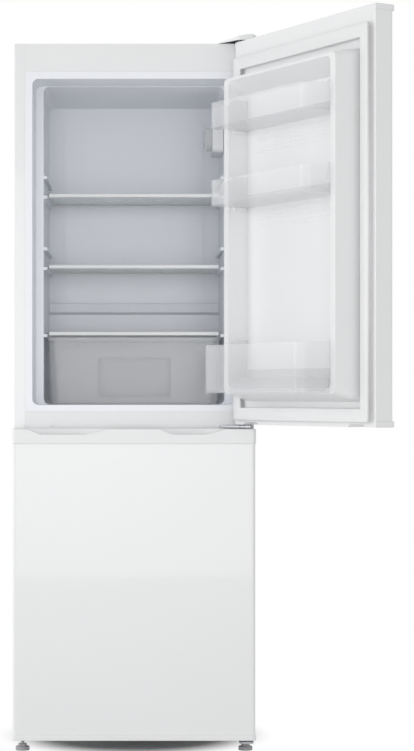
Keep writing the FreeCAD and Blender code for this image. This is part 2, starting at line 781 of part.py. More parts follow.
def hinge_plan(reach, rear):
    """Plan outline of a hinge plate: a round nose at the pin and a root at this depth."""
    left = HINGE_X - reach
    right = HINGE_X + HINGE_NOSE
    front = HINGE_Y - HINGE_PLATE_EDGE
    shoulder = max(left, HINGE_X - HINGE_NOSE - 4.0)
    return [
        (left, rear, 0),
        (left, rear - 12.0, 4.0),
        (shoulder + 0.5, front, 8.0),
        (right, front, 8.0),
        (right, rear, 0),
    ]


def middle_hinge():
    """Steel plate between the doors, with a pin up and down and a leaf on the crossbar."""
    base = FREEZER_DOOR_TOP + (DOOR_SPACING - HINGE_PLATE) / 2
    plate = upright_prism(hinge_plan(HINGE_PLATE_REACH, FRONT), base, base + HINGE_PLATE)
    foot = FREEZER_DOOR_TOP - LEAF_DROP
    left = HINGE_X - LEAF_REACH
    leaf = block(left, HINGE_X, FRONT - LEAF_THICKNESS, FRONT, foot, foot + LEAF_HEIGHT)
    shaft = pin(FREEZER_DOOR_TOP - PIN_REACH, FRIDGE_DOOR_BOTTOM + PIN_REACH)
    hinge = fused(plate, leaf, shaft)
    for place in middle_screw_places():
        hinge = hinge.cut(rod(SCREW_DIAMETER / 2, LEAF_THICKNESS, place, Vector(0, 1, 0)))
    return hinge


def bottom_screw_places():
    """Where the bottom hinge is screwed to the base frame."""
    height = BASE_HEIGHT - HINGE_PLATE
    depth = FRONT + SCREW_HEAD
    return [Vector(HINGE_X - SCREW_HEAD, depth, height), Vector(HINGE_X + SCREW_HEAD / 2, depth, height)]


def bottom_hinge():
    """Bracket under the cabinet that carries the freezer door's pin and the right foot."""
    top = BASE_HEIGHT
    low = top - HINGE_PLATE
    plate = upright_prism(hinge_plan(FOOT_BRACKET_REACH, FOOT_Y + FOOT_BOSS), low, top)
    hinge = fused(plate, pin(low, DOOR_FLOOR_GAP + PIN_REACH))
    stem_start = Vector(FOOT_X, FOOT_Y, low - 1.0)
    hinge = hinge.cut(rod(FOOT_STEM / 2 + PIN_CLEARANCE, HINGE_PLATE + 2.0, stem_start, Vector(0, 0, 1)))
    for place in bottom_screw_places():
        hinge = hinge.cut(rod(SCREW_DIAMETER / 2, HINGE_PLATE, place, Vector(0, 0, 1)))
    return hinge


def top_screw_places():
    """Where the top hinge is screwed down through the lid."""
    rear = FRONT + TOP_BRACKET_DEPTH - SCREW_HEAD
    left = HINGE_X - 1.6 * SCREW_HEAD
    right = HINGE_X + 0.6 * SCREW_HEAD
    middle = (left + right) / 2
    places = [(left, rear), (right, rear), (middle, rear - 1.6 * SCREW_HEAD)]
    return [Vector(x, y, CABINET_HEIGHT) for x, y in places]


def top_hinge():
    """Bracket on the lid that reaches over the refrigerator door and holds its upper pin."""
    top = CABINET_HEIGHT + TOP_PLATE
    plate = upright_prism(hinge_plan(TOP_PLATE_REACH, FRONT + TOP_BRACKET_DEPTH), CABINET_HEIGHT, top)
    hinge = fused(plate, pin(FRIDGE_DOOR_TOP - PIN_REACH, top))
    for place in top_screw_places():
        hinge = hinge.cut(rod(SCREW_DIAMETER / 2, TOP_PLATE, place, Vector(0, 0, 1)))
    return hinge


def cover_body(inset):
    """Outline solid of the hinge cover, made smaller all round by an inset."""
    left = HINGE_X - HINGE_COVER_REACH + inset
    nose = HINGE_X - HINGE_COVER_NOSE + inset / 2
    right = HINGE_X + HINGE_COVER_SIDE - inset
    front = HINGE_Y - HINGE_COVER_FRONT + inset
    rear = FRONT + HINGE_COVER_REAR - inset
    foot = CABINET_HEIGHT + FIT_GAP
    top = CABINET_HEIGHT + HINGE_COVER_HEIGHT - inset
    corner = HINGE_COVER_CORNER - inset
    plan = [
        (left, rear, corner),
        (left, FRONT, corner),
        (nose, front, corner),
        (right, front, corner),
        (right, rear, corner),
    ]
    profile = [
        (left - 1.0, foot - 1.0, 0),
        (right + 1.0, foot - 1.0, 0),
        (right + 1.0, top - 5.0, 0),
        (right - 7.0, top, 8.0),
        (HINGE_X, top, 20.0),
        (left - 1.0, foot + 1.2 - inset, 0),
    ]
    body = upright_prism(plan, foot, top)
    return body.common(facing_prism(profile, front - 1.0, rear + 1.0))


def hinge_cover():
    """Moulded cover over the top hinge, which falls away towards the middle."""
    return cover_body(0.0).cut(cover_body(HINGE_COVER_WALL))


def screw(place, direction, length):
    """A pan-head screw whose head rests at this place, with its shank along the direction."""
    shank = rod(SCREW_DIAMETER / 2, length, place, direction)
    head_start = place - direction * SCREW_HEAD_HEIGHT
    head = rod(SCREW_HEAD / 2, SCREW_HEAD_HEIGHT, head_start, direction)
    return fused(head, shank)


def hinge_screws():
    """Every screw that holds the three hinges to the cabinet."""
    screws = [screw(place, Vector(0, 1, 0), LEAF_THICKNESS + LINER_WALL) for place in middle_screw_places()]
    for place in top_screw_places():
        start = place + Vector(0, 0, TOP_PLATE)
        screws.append(screw(start, Vector(0, 0, -1), TOP_PLATE))
    for place in bottom_screw_places():
        screws.append(screw(place, Vector(0, 0, 1), HINGE_PLATE))
    return Part.makeCompound(screws)


def plug_cap():
    """Cap that closes the spare hinge hole at the left of the crossbar."""
    place = spare_hole()
    head = rod(PLUG_HEAD, PLUG_HEAD_HEIGHT, place - Vector(0, PLUG_HEAD_HEIGHT, 0), Vector(0, 1, 0))
    stem = rod(PLUG_STEM, LINER_WALL, place, Vector(0, 1, 0))
    cap = fused(head, stem)
    return rounded_edges(cap, 1.2, lambda edge: abs(edge.CenterOfMass.y - (FRONT - PLUG_HEAD_HEIGHT)) < 0.01)


# ================================================================ shelves
def shelf_glass(height):
    """Tempered glass shelf whose top is at this height."""
    half = SHELF_HALF - SHELF_ZONE_TAPER - GLASS_SIDE_GAP
    front = SHELF_FRONT + TRIM_DEPTH_FRONT - TRIM_BITE
    rear = SHELF_FRONT + SHELF_DEPTH - TRIM_DEPTH_REAR + TRIM_BITE
    return upright_prism(rectangle(-half, half, front, rear, 3.0), height - GLASS_THICKNESS, height)


def shelf_trims(height):
    """Moulded edges of a shelf: a round nose in front and a raised stop behind."""
    half = SHELF_HALF - SHELF_ZONE_TAPER - GLASS_SIDE_GAP
    low = height - GLASS_THICKNESS
    slot_low = low
    slot_high = height
    front = SHELF_FRONT
    nose_rear = front + TRIM_DEPTH_FRONT
    slot_front = nose_rear - TRIM_BITE
    nose = [
        (front, height + TRIM_LIP - TRIM_HEIGHT_FRONT, 3.0),
        (nose_rear, height + TRIM_LIP - TRIM_HEIGHT_FRONT, 0),
        (nose_rear, slot_low, 0),
        (slot_front, slot_low, 0),
        (slot_front, slot_high, 0),
        (nose_rear, slot_high, 0),
        (nose_rear, height + TRIM_LIP, 0),
        (front, height + TRIM_LIP, 3.0),
    ]
    inner = half - LEDGE_REACH - 1.0
    front_trim = sideways_prism(nose, -inner, inner)
    rear = SHELF_FRONT + SHELF_DEPTH
    rear_front = rear - TRIM_DEPTH_REAR
    slot_rear = rear_front + TRIM_BITE
    stop = [
        (rear_front, low - TRIM_LIP, 0),
        (rear, low - TRIM_LIP, 0),
        (rear, low - TRIM_LIP + TRIM_HEIGHT_REAR, 1.5),
        (rear_front + 3.0, low - TRIM_LIP + TRIM_HEIGHT_REAR, 1.5),
        (rear_front, height + TRIM_LIP, 0),
        (rear_front, slot_high, 0),
        (slot_rear, slot_high, 0),
        (slot_rear, slot_low, 0),
        (rear_front, slot_low, 0),
    ]
    rear_trim = sideways_prism(stop, -inner, inner)
    return Part.makeCompound([front_trim, rear_trim])


# ================================================================ crisper drawer
def crisper_section(inset, shrink):
    """Plan outline of the drawer tub, made smaller by an inset and by the draft."""
    half = SHELF_HALF - SHELF_ZONE_TAPER - CRISPER_SIDE_GAP - CRISPER_RIM - inset - shrink
    front = SHELF_FRONT + inset
    rear = SHELF_FRONT + CRISPER_DEPTH - inset - shrink
    return rectangle(-half, half, front, rear, CRISPER_CORNER - inset)


def crisper_drawer():
    """Clear tub with a drafted wall, a rolled rim and a framed grip pressed into its front."""
    floor = FRIDGE_FLOOR + FLOOR_RISE + CRISPER_FLOOR_GAP
    top = CRISPER_COVER_HEIGHT - GLASS_THICKNESS - CRISPER_COVER_GAP
    outer = upright_loft(crisper_section(0, CRISPER_DRAFT), floor, crisper_section(0, 0), top)
    inner = upright_loft(
        crisper_section(CRISPER_WALL, CRISPER_DRAFT), floor + CRISPER_WALL, crisper_section(CRISPER_WALL, 0), top + 1.0
    )
    rim_outer = crisper_section(-CRISPER_RIM, 0)
    rim = upright_prism(rim_outer, top - CRISPER_RIM_HEIGHT, top)
    trim_front = block(-2 * SHELF_HALF, 2 * SHELF_HALF, SHELF_FRONT - 2 * CRISPER_RIM, SHELF_FRONT, floor, top + 1.0)
    rim = rim.cut(trim_front)
    skirt = upright_prism(
        crisper_section(-CRISPER_RIM + CRISPER_WALL, 0), top - CRISPER_RIM_HEIGHT - 1.0, top - CRISPER_WALL
    )
    rim = rim.cut(skirt)
    tub = fused(outer, rim)
    pocket_out = grip_pocket(0.0, floor, top)
    tub = tub.cut(inner.cut(pocket_out))
    return tub.cut(grip_pocket(CRISPER_WALL, floor, top))


def grip_pocket(inset, floor, top):
    """The block pressed back into the drawer front behind the grip, less an inset."""
    half = CRISPER_GRIP_WIDTH / 2 - inset
    high = top - CRISPER_GRIP_TOP - inset
    low = floor + CRISPER_GRIP_FOOT + inset
    front = SHELF_FRONT - 1.0
    rear = SHELF_FRONT + CRISPER_GRIP_DEPTH + CRISPER_WALL - inset
    radius = CRISPER_GRIP_RADIUS - inset
    corners = [(-half, low, radius), (half, low, radius), (half, high, radius), (-half, high, radius)]
    return facing_prism(corners, front, rear)


# ================================================================ lamp, thermostat and switch
def housing_outline(inset):
    """Side outline of the lamp housing, with a round nose in front."""
    low = HOUSING_CENTRE - HOUSING_HEIGHT / 2 + inset
    high = HOUSING_CENTRE + HOUSING_HEIGHT / 2 - inset
    front = HOUSING_FRONT + inset
    rear = HOUSING_FRONT + HOUSING_LENGTH - inset
    return rectangle(front, rear, low, high, HOUSING_ROUND - inset)


def wall_side(depth):
    """X of the right liner wall in the shelf zone at this depth."""
    share = (depth - RACK_ZONE_END) / SHELF_ZONE_DEPTH
    return SHELF_HALF - SHELF_ZONE_TAPER * share


def knob_centre():
    """Where the thermostat shaft leaves the housing."""
    depth = HOUSING_FRONT + HOUSING_LENGTH - KNOB_RADIUS - 12.0
    return Vector(SHELF_HALF - HOUSING_REACH, depth, HOUSING_CENTRE)


def lens_outline(inset):
    """Side outline of the lamp lens: square above, round below."""
    low = HOUSING_CENTRE - LENS_HEIGHT / 2 + inset
    high = HOUSING_CENTRE + LENS_HEIGHT / 2 - inset
    front = HOUSING_FRONT + LENS_SETBACK + inset
    rear = front + LENS_LENGTH - 2 * inset
    round_corner = LENS_ROUND - inset
    sharp_corner = LENS_CORNER - inset
    return [
        (front, low, round_corner),
        (rear, low, round_corner),
        (rear, high, sharp_corner),
        (front, high, sharp_corner),
    ]


def thermostat_housing():
    """Moulded housing on the right wall that holds the lamp and the thermostat."""
    face = SHELF_HALF - HOUSING_REACH
    root = wall_side(HOUSING_FRONT + HOUSING_LENGTH) - FIT_GAP
    shell = sideways_prism(housing_outline(0), face, root)
    hollow = sideways_prism(housing_outline(HOUSING_WALL), face + HOUSING_WALL, root)
    shell = shell.cut(hollow)
    window = sideways_prism(lens_outline(LENS_WALL + 1.0), face - 1.0, face + 2 * HOUSING_WALL)
    shell = shell.cut(window)
    centre = knob_centre()
    shaft_hole = rod(KNOB_SHAFT / 2 + PIN_CLEARANCE, 4 * HOUSING_WALL, centre - Vector(1, 0, 0), Vector(1, 0, 0))
    return shell.cut(shaft_hole)


def lamp_lens():
    """Clear ribbed cover over the lamp."""
    face = SHELF_HALF - HOUSING_REACH
    tip = SHELF_HALF - LENS_REACH
    shell = sideways_prism(lens_outline(0), tip, face)
    hollow = sideways_prism(lens_outline(LENS_WALL), tip + LENS_WALL, face)
    shell = shell.cut(hollow)
    front = HOUSING_FRONT + LENS_SETBACK
    pitch = LENS_LENGTH / (LENS_RIBS + 1)
    low = HOUSING_CENTRE - LENS_HEIGHT / 2 + LENS_ROUND
    high = HOUSING_CENTRE + LENS_HEIGHT / 2 - LENS_CORNER
    ribs = []
    for index in range(LENS_RIBS):
        depth = front + pitch * (index + 1)
        ribs.append(rod(LENS_RIB, high - low, Vector(tip, depth, low), Vector(0, 0, 1)))
    return fused(shell, *ribs)


def lamp():
    """Lamp bulb in its holder, lying along the housing behind the lens."""
    neck = LAMP_RADIUS * LAMP_NECK_SHARE
    waist = LAMP_HOLDER_LENGTH + LAMP_NECK_LENGTH
    shoulder = waist + LAMP_LENGTH / 2
    bulge = LAMP_RADIUS * math.sqrt(0.5)
    outline = [
        Vector(0, 0, 0),
        Vector(LAMP_HOLDER_RADIUS, 0, 0),
        Vector(LAMP_HOLDER_RADIUS, LAMP_HOLDER_LENGTH, 0),
        Vector(neck, LAMP_HOLDER_LENGTH, 0),
        Vector(neck, waist, 0),
        Vector(LAMP_RADIUS, shoulder, 0),
    ]
    edges = []
    for start, end in zip(outline, outline[1:]):
        edges.append(Part.LineSegment(start, end).toShape())
    tip = Vector(0, shoulder + LAMP_RADIUS, 0)
    edges.append(Part.Arc(outline[-1], Vector(bulge, shoulder + bulge, 0), tip).toShape())
    edges.append(Part.LineSegment(tip, outline[0]).toShape())
    bulb = Part.Face(Part.Wire(edges)).revolve(Vector(0, 0, 0), Vector(0, 1, 0), 360)
    axis = SHELF_HALF - HOUSING_REACH + LAMP_RADIUS
    bulb.translate(Vector(axis, HOUSING_FRONT + HOUSING_WALL, HOUSING_CENTRE))
    return bulb


def thermostat_knob():
    """Round dial with a raised finger grip and a shaft into the housing."""
    centre = knob_centre()
    back = centre - Vector(KNOB_SEAT_GAP, 0, 0)
    disc = rod(KNOB_RADIUS, KNOB_HEIGHT - KNOB_GRIP_HEIGHT, back, Vector(-1, 0, 0))
    face = back.x - KNOB_HEIGHT + KNOB_GRIP_HEIGHT
    disc = rounded_edges(disc, 1.5, lambda edge: edge.Closed and abs(edge.CenterOfMass.x - face) < 0.01)
    grip = block(
        back.x - KNOB_HEIGHT,
        back.x - KNOB_HEIGHT + KNOB_GRIP_HEIGHT + 1.0,
        centre.y - KNOB_GRIP_WIDTH / 2,
        centre.y + KNOB_GRIP_WIDTH / 2,
        centre.z - KNOB_RADIUS + 3.0,
        centre.z + KNOB_RADIUS - 3.0,
    )
    shaft = rod(KNOB_SHAFT / 2, HOUSING_WALL + 8.0, back - Vector(1, 0, 0), Vector(1, 0, 0))
    return fused(disc, grip, shaft)


def switch_centre():
    """Where the lamp switch sits on the right wall, beside the door opening."""
    depth = FRONT + SWITCH_SETBACK
    side = FRIDGE_HALF - RACK_ZONE_TAPER * SWITCH_SETBACK / RACK_ZONE
    return Vector(side, depth, SWITCH_HEIGHT)


def switch_hole(radius):
    """The round hole in the wall and the foam that the switch socket fills."""
    start = switch_centre() - Vector(5.0, 0, 0)
    return rod(radius, SWITCH_SOCKET_DEPTH + 5.0, start, Vector(1, 0, 0))


def switch_socket():
    """Socket of the lamp switch, sunk in the right wall."""
    start = switch_centre() + Vector(0.5, 0, 0)
    body = rod(SWITCH_SOCKET, SWITCH_SOCKET_DEPTH - 0.5, start, Vector(1, 0, 0))
    bore = rod(SWITCH_RADIUS + PIN_CLEARANCE, SWITCH_SOCKET_DEPTH - 3.0, start, Vector(1, 0, 0))
    return body.cut(bore)


def switch_button():
    """Spring-loaded button that the closing door presses into its socket."""
    start = switch_centre() - Vector(SWITCH_REACH, 0, 0)
    button = rod(SWITCH_RADIUS, SWITCH_REACH + 12.0, start, Vector(1, 0, 0))
    return rounded_edges(button, 2.5, lambda edge: abs(edge.CenterOfMass.x - start.x) < 0.01 and edge.Closed)


# ================================================================ doors
def door_skin(low, high):
    """Painted sheet wrapped round the front and sides of a door and hemmed in behind."""
    half = HALF_WIDTH
    rear = DOOR_THICKNESS
    hem = half - DOOR_HEM
    corners = [
        (-hem, rear, 0),
        (-half, rear, 1.5),
        (-half, 0, DOOR_EDGE_RADIUS),
        (half, 0, DOOR_EDGE_RADIUS),
        (half, rear, 1.5),
        (hem, rear, 0),
        (hem, rear - SHEET, 0),
        (half - SHEET, rear - SHEET, 0.5),
        (half - SHEET, SHEET, DOOR_EDGE_RADIUS - SHEET),
        (-half + SHEET, SHEET, DOOR_EDGE_RADIUS - SHEET),
        (-half + SHEET, rear - SHEET, 0.5),
        (-hem, rear - SHEET, 0),
    ]
    return upright_prism(corners, low, high)


def cap_slab(low, high, lip_low, lip_high):
    """A moulded door cap with softened rims and a lip down or up the back of the door."""
    half = HALF_WIDTH + CAP_SIDE_OVERHANG
    radius = DOOR_EDGE_RADIUS + CAP_SIDE_OVERHANG
    corners = [
        (-half, DOOR_THICKNESS, 0),
        (-half, -CAP_FRONT_OVERHANG, radius),
        (half, -CAP_FRONT_OVERHANG, radius),
        (half, DOOR_THICKNESS, 0),
    ]
    slab = upright_prism(corners, low, high)
    slab = rounded_edges(slab, CAP_EDGE, lambda edge: cap_rim_edge(edge, low, high))
    lip_half = HALF_WIDTH - DOOR_HEM - FIT_GAP
    lip = block(-lip_half, lip_half, DOOR_THICKNESS - CAP_LIP, DOOR_THICKNESS, lip_low, lip_high)
    return fused(slab, lip)


def cap_rim_edge(edge, low, high):
    """Picks the front and side rims of a cap, above and below."""
    centre = edge.CenterOfMass
    level = abs(centre.z - low) < 0.01 or abs(centre.z - high) < 0.01
    return level and centre.y < DOOR_THICKNESS - 0.01


def bush_bore(low, high):
    """The bore for a hinge bush on the door axis."""
    return rod(BUSH_DIAMETER / 2, high - low, Vector(HINGE_X, HINGE_Y, low), Vector(0, 0, 1))


def bush(mouth, direction):
    """Nylon bush with a flange, which reaches into the door from a mouth at this height."""
    start = Vector(HINGE_X, HINGE_Y, mouth)
    tube = rod(BUSH_DIAMETER / 2, BUSH_LENGTH, start, direction)
    flange = rod(BUSH_FLANGE_DIAMETER / 2, BUSH_FLANGE, start - direction * BUSH_FLANGE, direction)
    bore_start = start - direction * (BUSH_FLANGE + 1.0)
    bore_length = BUSH_LENGTH + BUSH_FLANGE + 1.0 - BUSH_END
    bore = rod(PIN_DIAMETER / 2 + PIN_CLEARANCE, bore_length, bore_start, direction)
    return fused(tube, flange).cut(bore)


def door_bushes(low, high):
    """The lower and the upper hinge bush of a door."""
    return [bush(low, Vector(0, 0, 1)), bush(high, Vector(0, 0, -1))]


def scoop(outer_end, inner_end, low, high):
    """A finger scoop across a cap: sloping ends and a level floor, cut in from the front."""
    way = math.copysign(1.0, inner_end - outer_end)
    corners = [
        (outer_end, high, 0),
        (inner_end, high, 0),
        (inner_end - way * GRIP_INNER_SLOPE, low, GRIP_ROUND),
        (outer_end + way * GRIP_OUTER_SLOPE, low, GRIP_ROUND),
    ]
    return facing_prism(corners, -2 * CAP_FRONT_OVERHANG, GRIP_DEPTH)


def finger_pocket(outer_end, inner_end, low, high):
    """The deeper pocket behind the front wall of a grip."""
    way = math.copysign(1.0, inner_end - outer_end)
    first = outer_end + way * (GRIP_OUTER_SLOPE + GRIP_FRONT_WALL)
    last = inner_end - way * (GRIP_INNER_SLOPE + GRIP_FRONT_WALL)
    front = GRIP_FRONT_WALL - CAP_FRONT_OVERHANG
    plan = rectangle(min(first, last), max(first, last), front, GRIP_DEPTH, GRIP_ROUND - 2.0)
    return upright_prism(plan, low, high)


def freezer_cap_top():
    """Trim along the top of the freezer door with two finger grips sunk in its upper edge."""
    top = FREEZER_DOOR_TOP
    low = top - TRIM_HEIGHT
    cap = cap_slab(low, top, low, top)
    dip = top - GRIP_DIP
    for steep_end, gentle_end in ((-GRIP_OUTER_END, -GRIP_INNER_END), (GRIP_INNER_END, GRIP_HINGE_END)):
        cap = cap.cut(scoop(steep_end, gentle_end, dip, top))
        cap = cap.cut(finger_pocket(steep_end, gentle_end, top - GRIP_REACH, top))
    return cap.cut(bush_bore(top - BUSH_LENGTH, top))


def freezer_cap_bottom():
    """Plain cap along the bottom of the freezer door."""
    low = DOOR_FLOOR_GAP
    cap = cap_slab(low, low + CAP_RIM, low, low + GASKET_FOOT_MARGIN - FIT_GAP)
    return cap.cut(bush_bore(low, low + BUSH_LENGTH))


def fridge_cap_top():
    """Cap along the top of the refrigerator door, with a deep lip behind."""
    high = FRIDGE_DOOR_TOP
    cap = cap_slab(high - CAP_RIM, high, high - GASKET_FAR_MARGIN + FIT_GAP, high)
    return cap.cut(bush_bore(high - BUSH_LENGTH, high))


def fridge_cap_bottom():
    """Cap under the refrigerator door, hollowed behind each corner for the fingers."""
    low = FRIDGE_DOOR_BOTTOM
    cap = cap_slab(low, low + CAP_RIM, low, low + CAP_RIM)
    depth = CAP_RIM / 2
    near = GRIP_OUTER_END - UNDER_GRIP_LENGTH
    for side in (-1.0, 1.0):
        corners = [
            (side * GRIP_OUTER_END, low, 0),
            (side * near, low, 0),
            (side * (near + UNDER_GRIP_SLOPE), low + depth, depth - 1.5),
            (side * (GRIP_OUTER_END - UNDER_GRIP_SLOPE), low + depth, depth - 1.5),
        ]
        cap = cap.cut(facing_prism(corners, GRIP_FRONT_WALL, 2 * DOOR_THICKNESS))
    return cap.cut(bush_bore(low, low + BUSH_LENGTH))


def door_plug(half, low, high, height, drafts, inset):
    """The tapered pad moulded on a door liner, made smaller by an inset."""
    side_draft, foot_draft, top_draft = drafts
    base = rectangle(-half + inset, half - inset, low + inset, high - inset, PLUG_CORNER - inset)
    crest_half = half - side_draft - inset
    crest = rectangle(-crest_half, crest_half, low + foot_draft + inset, high - top_draft - inset, PLUG_CORNER - inset)
    root = DOOR_THICKNESS - (LINER_WALL if inset > 0 else 0.0)
    return facing_loft(base, root, crest, DOOR_THICKNESS + height - inset)


def recess_outline(grow, at_crest):
    """Front outline of the hollow between the door's dykes, at its mouth or at its floor."""
    half = RECESS_HALF + grow
    low = FRIDGE_FLOOR + PLUG_FOOT_CLEARANCE + PLUG_FOOT_DRAFT + RECESS_FOOT_MARGIN - grow
    high = FRIDGE_TOP - PLUG_TOP_CLEARANCE - PLUG_TOP_DRAFT - RECESS_TOP_MARGIN + grow
    corner = PLUG_CORNER + grow
    if at_crest:
        return rectangle(-half, half, low, high, corner)
    floor_half = half - RECESS_DRAFT
    return rectangle(-floor_half, floor_half, low + RECESS_FOOT_DRAFT, high - RECESS_TOP_DRAFT, corner)


def door_recess(grow):
    """The hollow between the door's dykes, grown by a wall or shrunk by a gap."""
    floor = recess_outline(grow, False)
    return facing_loft(floor, RECESS_FLOOR - grow, recess_outline(grow, True), DYKE_CREST)


def fridge_plug(inset):
    """The pad of the refrigerator door, hollowed between its two side dykes."""
    half = FRIDGE_HALF - PLUG_SIDE_CLEARANCE
    low = FRIDGE_FLOOR + PLUG_FOOT_CLEARANCE
    high = FRIDGE_TOP - PLUG_TOP_CLEARANCE
    drafts = (PLUG_SIDE_DRAFT, PLUG_FOOT_DRAFT, PLUG_TOP_DRAFT)
    return door_plug(half, low, high, PLUG_HEIGHT, drafts, inset).cut(door_recess(inset))


def freezer_plug(inset):
    """The low pad of the freezer door."""
    half = FREEZER_HALF - PLUG_SIDE_CLEARANCE
    low = FREEZER_FLOOR + PLUG_FOOT_CLEARANCE
    high = FREEZER_TOP - PLUG_TOP_CLEARANCE
    drafts = (FREEZER_PLUG_DRAFT, FREEZER_PLUG_DRAFT, FREEZER_PLUG_DRAFT)
    return door_plug(half, low, high, FREEZER_PLUG_HEIGHT, drafts, inset)


def balcony_boss(base):
    """A small round-ended support on the left dyke, under the end of a balcony."""
    root = -RECESS_HALF - LINER_WALL
    tip = -RECESS_HALF + RECESS_DRAFT + BOSS_REACH
    start = RECESS_FLOOR + 6.0
    corners = [(root, start, 0), (tip, start, 1.5), (tip, start + BOSS_LENGTH, 1.5), (root, start + BOSS_LENGTH, 0)]
    return upright_prism(corners, base - BOSS_HEIGHT, base)


def fridge_door_liner():
    """Moulded liner of the refrigerator door: flange, side dykes, hollow and balcony bosses."""
    half = HALF_WIDTH - DOOR_HEM - FIT_GAP
    low = FRIDGE_DOOR_BOTTOM + CAP_RIM + FIT_GAP
    high = FRIDGE_DOOR_TOP - GASKET_FAR_MARGIN
    flange = block(-half, half, DOOR_THICKNESS - LINER_WALL, DOOR_THICKNESS, low, high)
    core = fridge_plug(LINER_WALL)
    body = flange.fuse(fridge_plug(0.0)).cut(core)
    bosses = [balcony_boss(base).cut(core) for base in BALCONY_BASES]
    bosses += [mirrored(piece) for piece in bosses]
    return fused(body, *bosses)


def freezer_door_liner():
    """Moulded liner of the freezer door."""
    half = HALF_WIDTH - DOOR_HEM - FIT_GAP
    low = DOOR_FLOOR_GAP + GASKET_FOOT_MARGIN
    high = FREEZER_DOOR_TOP - TRIM_HEIGHT - FIT_GAP
    flange = block(-half, half, DOOR_THICKNESS - LINER_WALL, DOOR_THICKNESS, low, high)
    body = flange.fuse(freezer_plug(0.0)).cut(freezer_plug(LINER_WALL))
    return body.removeSplitter()


def door_foam(low, high, plug_core, hollows):
    """Foam that fills a door between its skin, its caps and its liner."""
    half = HALF_WIDTH - SHEET
    rear = DOOR_THICKNESS - LINER_WALL
    corners = [
        (-half, rear, 0),
        (-half, SHEET, DOOR_EDGE_RADIUS - SHEET),
        (half, SHEET, DOOR_EDGE_RADIUS - SHEET),
        (half, rear, 0),
    ]
    foam = upright_prism(corners, low, high)
    for hollow in hollows:
        foam = foam.cut(hollow)
    return foam.fuse(plug_core).removeSplitter()


def gasket(low, high):
    """Magnetic door seal: a broad soft bulb on a narrow neck, all the way round."""
    half = HALF_WIDTH - GASKET_SIDE_MARGIN
    step = (GASKET_WIDTH - GASKET_NECK) / 2
    neck_end = GASKET_FACE - GASKET_BULB
    bulb = facing_prism(rectangle(-half, half, low, high, 4.0), neck_end, GASKET_FACE)
    inner = half - GASKET_WIDTH
    bulb = bulb.cut(
        facing_prism(rectangle(-inner, inner, low + GASKET_WIDTH, high - GASKET_WIDTH, 4.0), neck_end, GASKET_FACE)
    )
    bulb = rounded_edges(bulb, GASKET_ROUND, lambda edge: abs(edge.CenterOfMass.y - GASKET_FACE) < 0.01)
    neck_out = half - step
    neck_in = neck_out - GASKET_NECK
    neck = facing_prism(rectangle(-neck_out, neck_out, low + step, high - step, 4.0), DOOR_THICKNESS, neck_end)
    reach = step + GASKET_NECK
    neck = neck.cut(
        facing_prism(rectangle(-neck_in, neck_in, low + reach, high - reach, 4.0), DOOR_THICKNESS, neck_end)
    )
    return fused(bulb, neck)


def rack_room(gap):
    """The space a bottle rack may fill: the door's recess, and all that lies beyond its crest."""
    crest = recess_outline(-gap, True)
    beyond = DYKE_CREST + gap
    outside = block(-RECESS_HALF, RECESS_HALF, beyond, DYKE_CREST + 2 * RACK_REACH, 0, FRIDGE_TOP)
    return fused(door_recess(-gap), facing_prism(crest, DYKE_CREST, beyond), outside)


def balcony(base, height, reach):
    """Clear door balcony: round front corners and end walls that rise towards the door."""
    half = RECESS_HALF - RECESS_DRAFT - BALCONY_GAP
    rear = RECESS_FLOOR + BALCONY_GAP
    front = DYKE_CREST + reach
    rim = base + height
    ear_top = rim + BALCONY_EAR_RISE
    wall = BALCONY_WALL
    corner = BALCONY_CORNER
    inner_half = half - wall
    plan = [(-half, rear, 3.0), (half, rear, 3.0), (half, front, corner), (-half, front, corner)]
    inner_plan = [
        (-inner_half, rear + wall, 1.0),
        (inner_half, rear + wall, 1.0),
        (inner_half, front - wall, corner - wall),
        (-inner_half, front - wall, corner - wall),
    ]
    ear_end = rear + BALCONY_EAR_LENGTH
    side = [
        (rear, base, 0),
        (front, base, 0),
        (front, rim, 0),
        (ear_end + BALCONY_EAR_LENGTH / 2, rim, 18.0),
        (ear_end, ear_top, 14.0),
        (rear, ear_top, 0),
    ]
    outer = upright_prism(plan, base, ear_top).common(sideways_prism(side, -half, half))
    inner = upright_prism(inner_plan, base + wall, ear_top)
    outer = outer.common(rack_room(BALCONY_GAP))
    inner = inner.common(rack_room(BALCONY_GAP + wall))
    low_back = block(-inner_half, inner_half, rear, rear + wall, base + height / 2, ear_top)
    return outer.cut(inner).cut(low_back)


def opened(shape):
    """Turns a piece of the refrigerator door from closed to the open place it stands in."""
    turned = shape.copy()
    turned.rotate(Vector(HINGE_X, HINGE_Y, 0), Vector(0, 0, 1), FRIDGE_DOOR_OPEN)
    return turned


# ================================================================ freezer drawers and cooling shelves
def drawer_section(depth, inset, shrink):
    """Plan outline of a freezer drawer, made smaller by an inset and by the draft."""
    half = FREEZER_HALF - FREEZER_TAPER - DRAWER_SIDE_GAP - inset - shrink
    front = FRONT + DRAWER_FRONT_GAP + inset
    rear = front - inset + depth - inset - shrink
    return rectangle(-half, half, front, rear, DRAWER_CORNER - inset)


def drawer_slot(top, inset):
    """The finger slot pressed back into a freezer drawer's front, less an inset."""
    half = DRAWER_SLOT_WIDTH / 2 - inset
    high = top - DRAWER_SLOT_DROP - inset
    low = high + 2 * inset - DRAWER_SLOT_HEIGHT
    front = FRONT + DRAWER_FRONT_GAP - 1.0
    rear = FRONT + DRAWER_FRONT_GAP + DRAWER_SLOT_DEPTH + DRAWER_WALL - inset
    radius = DRAWER_SLOT_HEIGHT / 2 - 3.0 - inset
    return facing_prism(rectangle(-half, half, low, high, radius), front, rear)


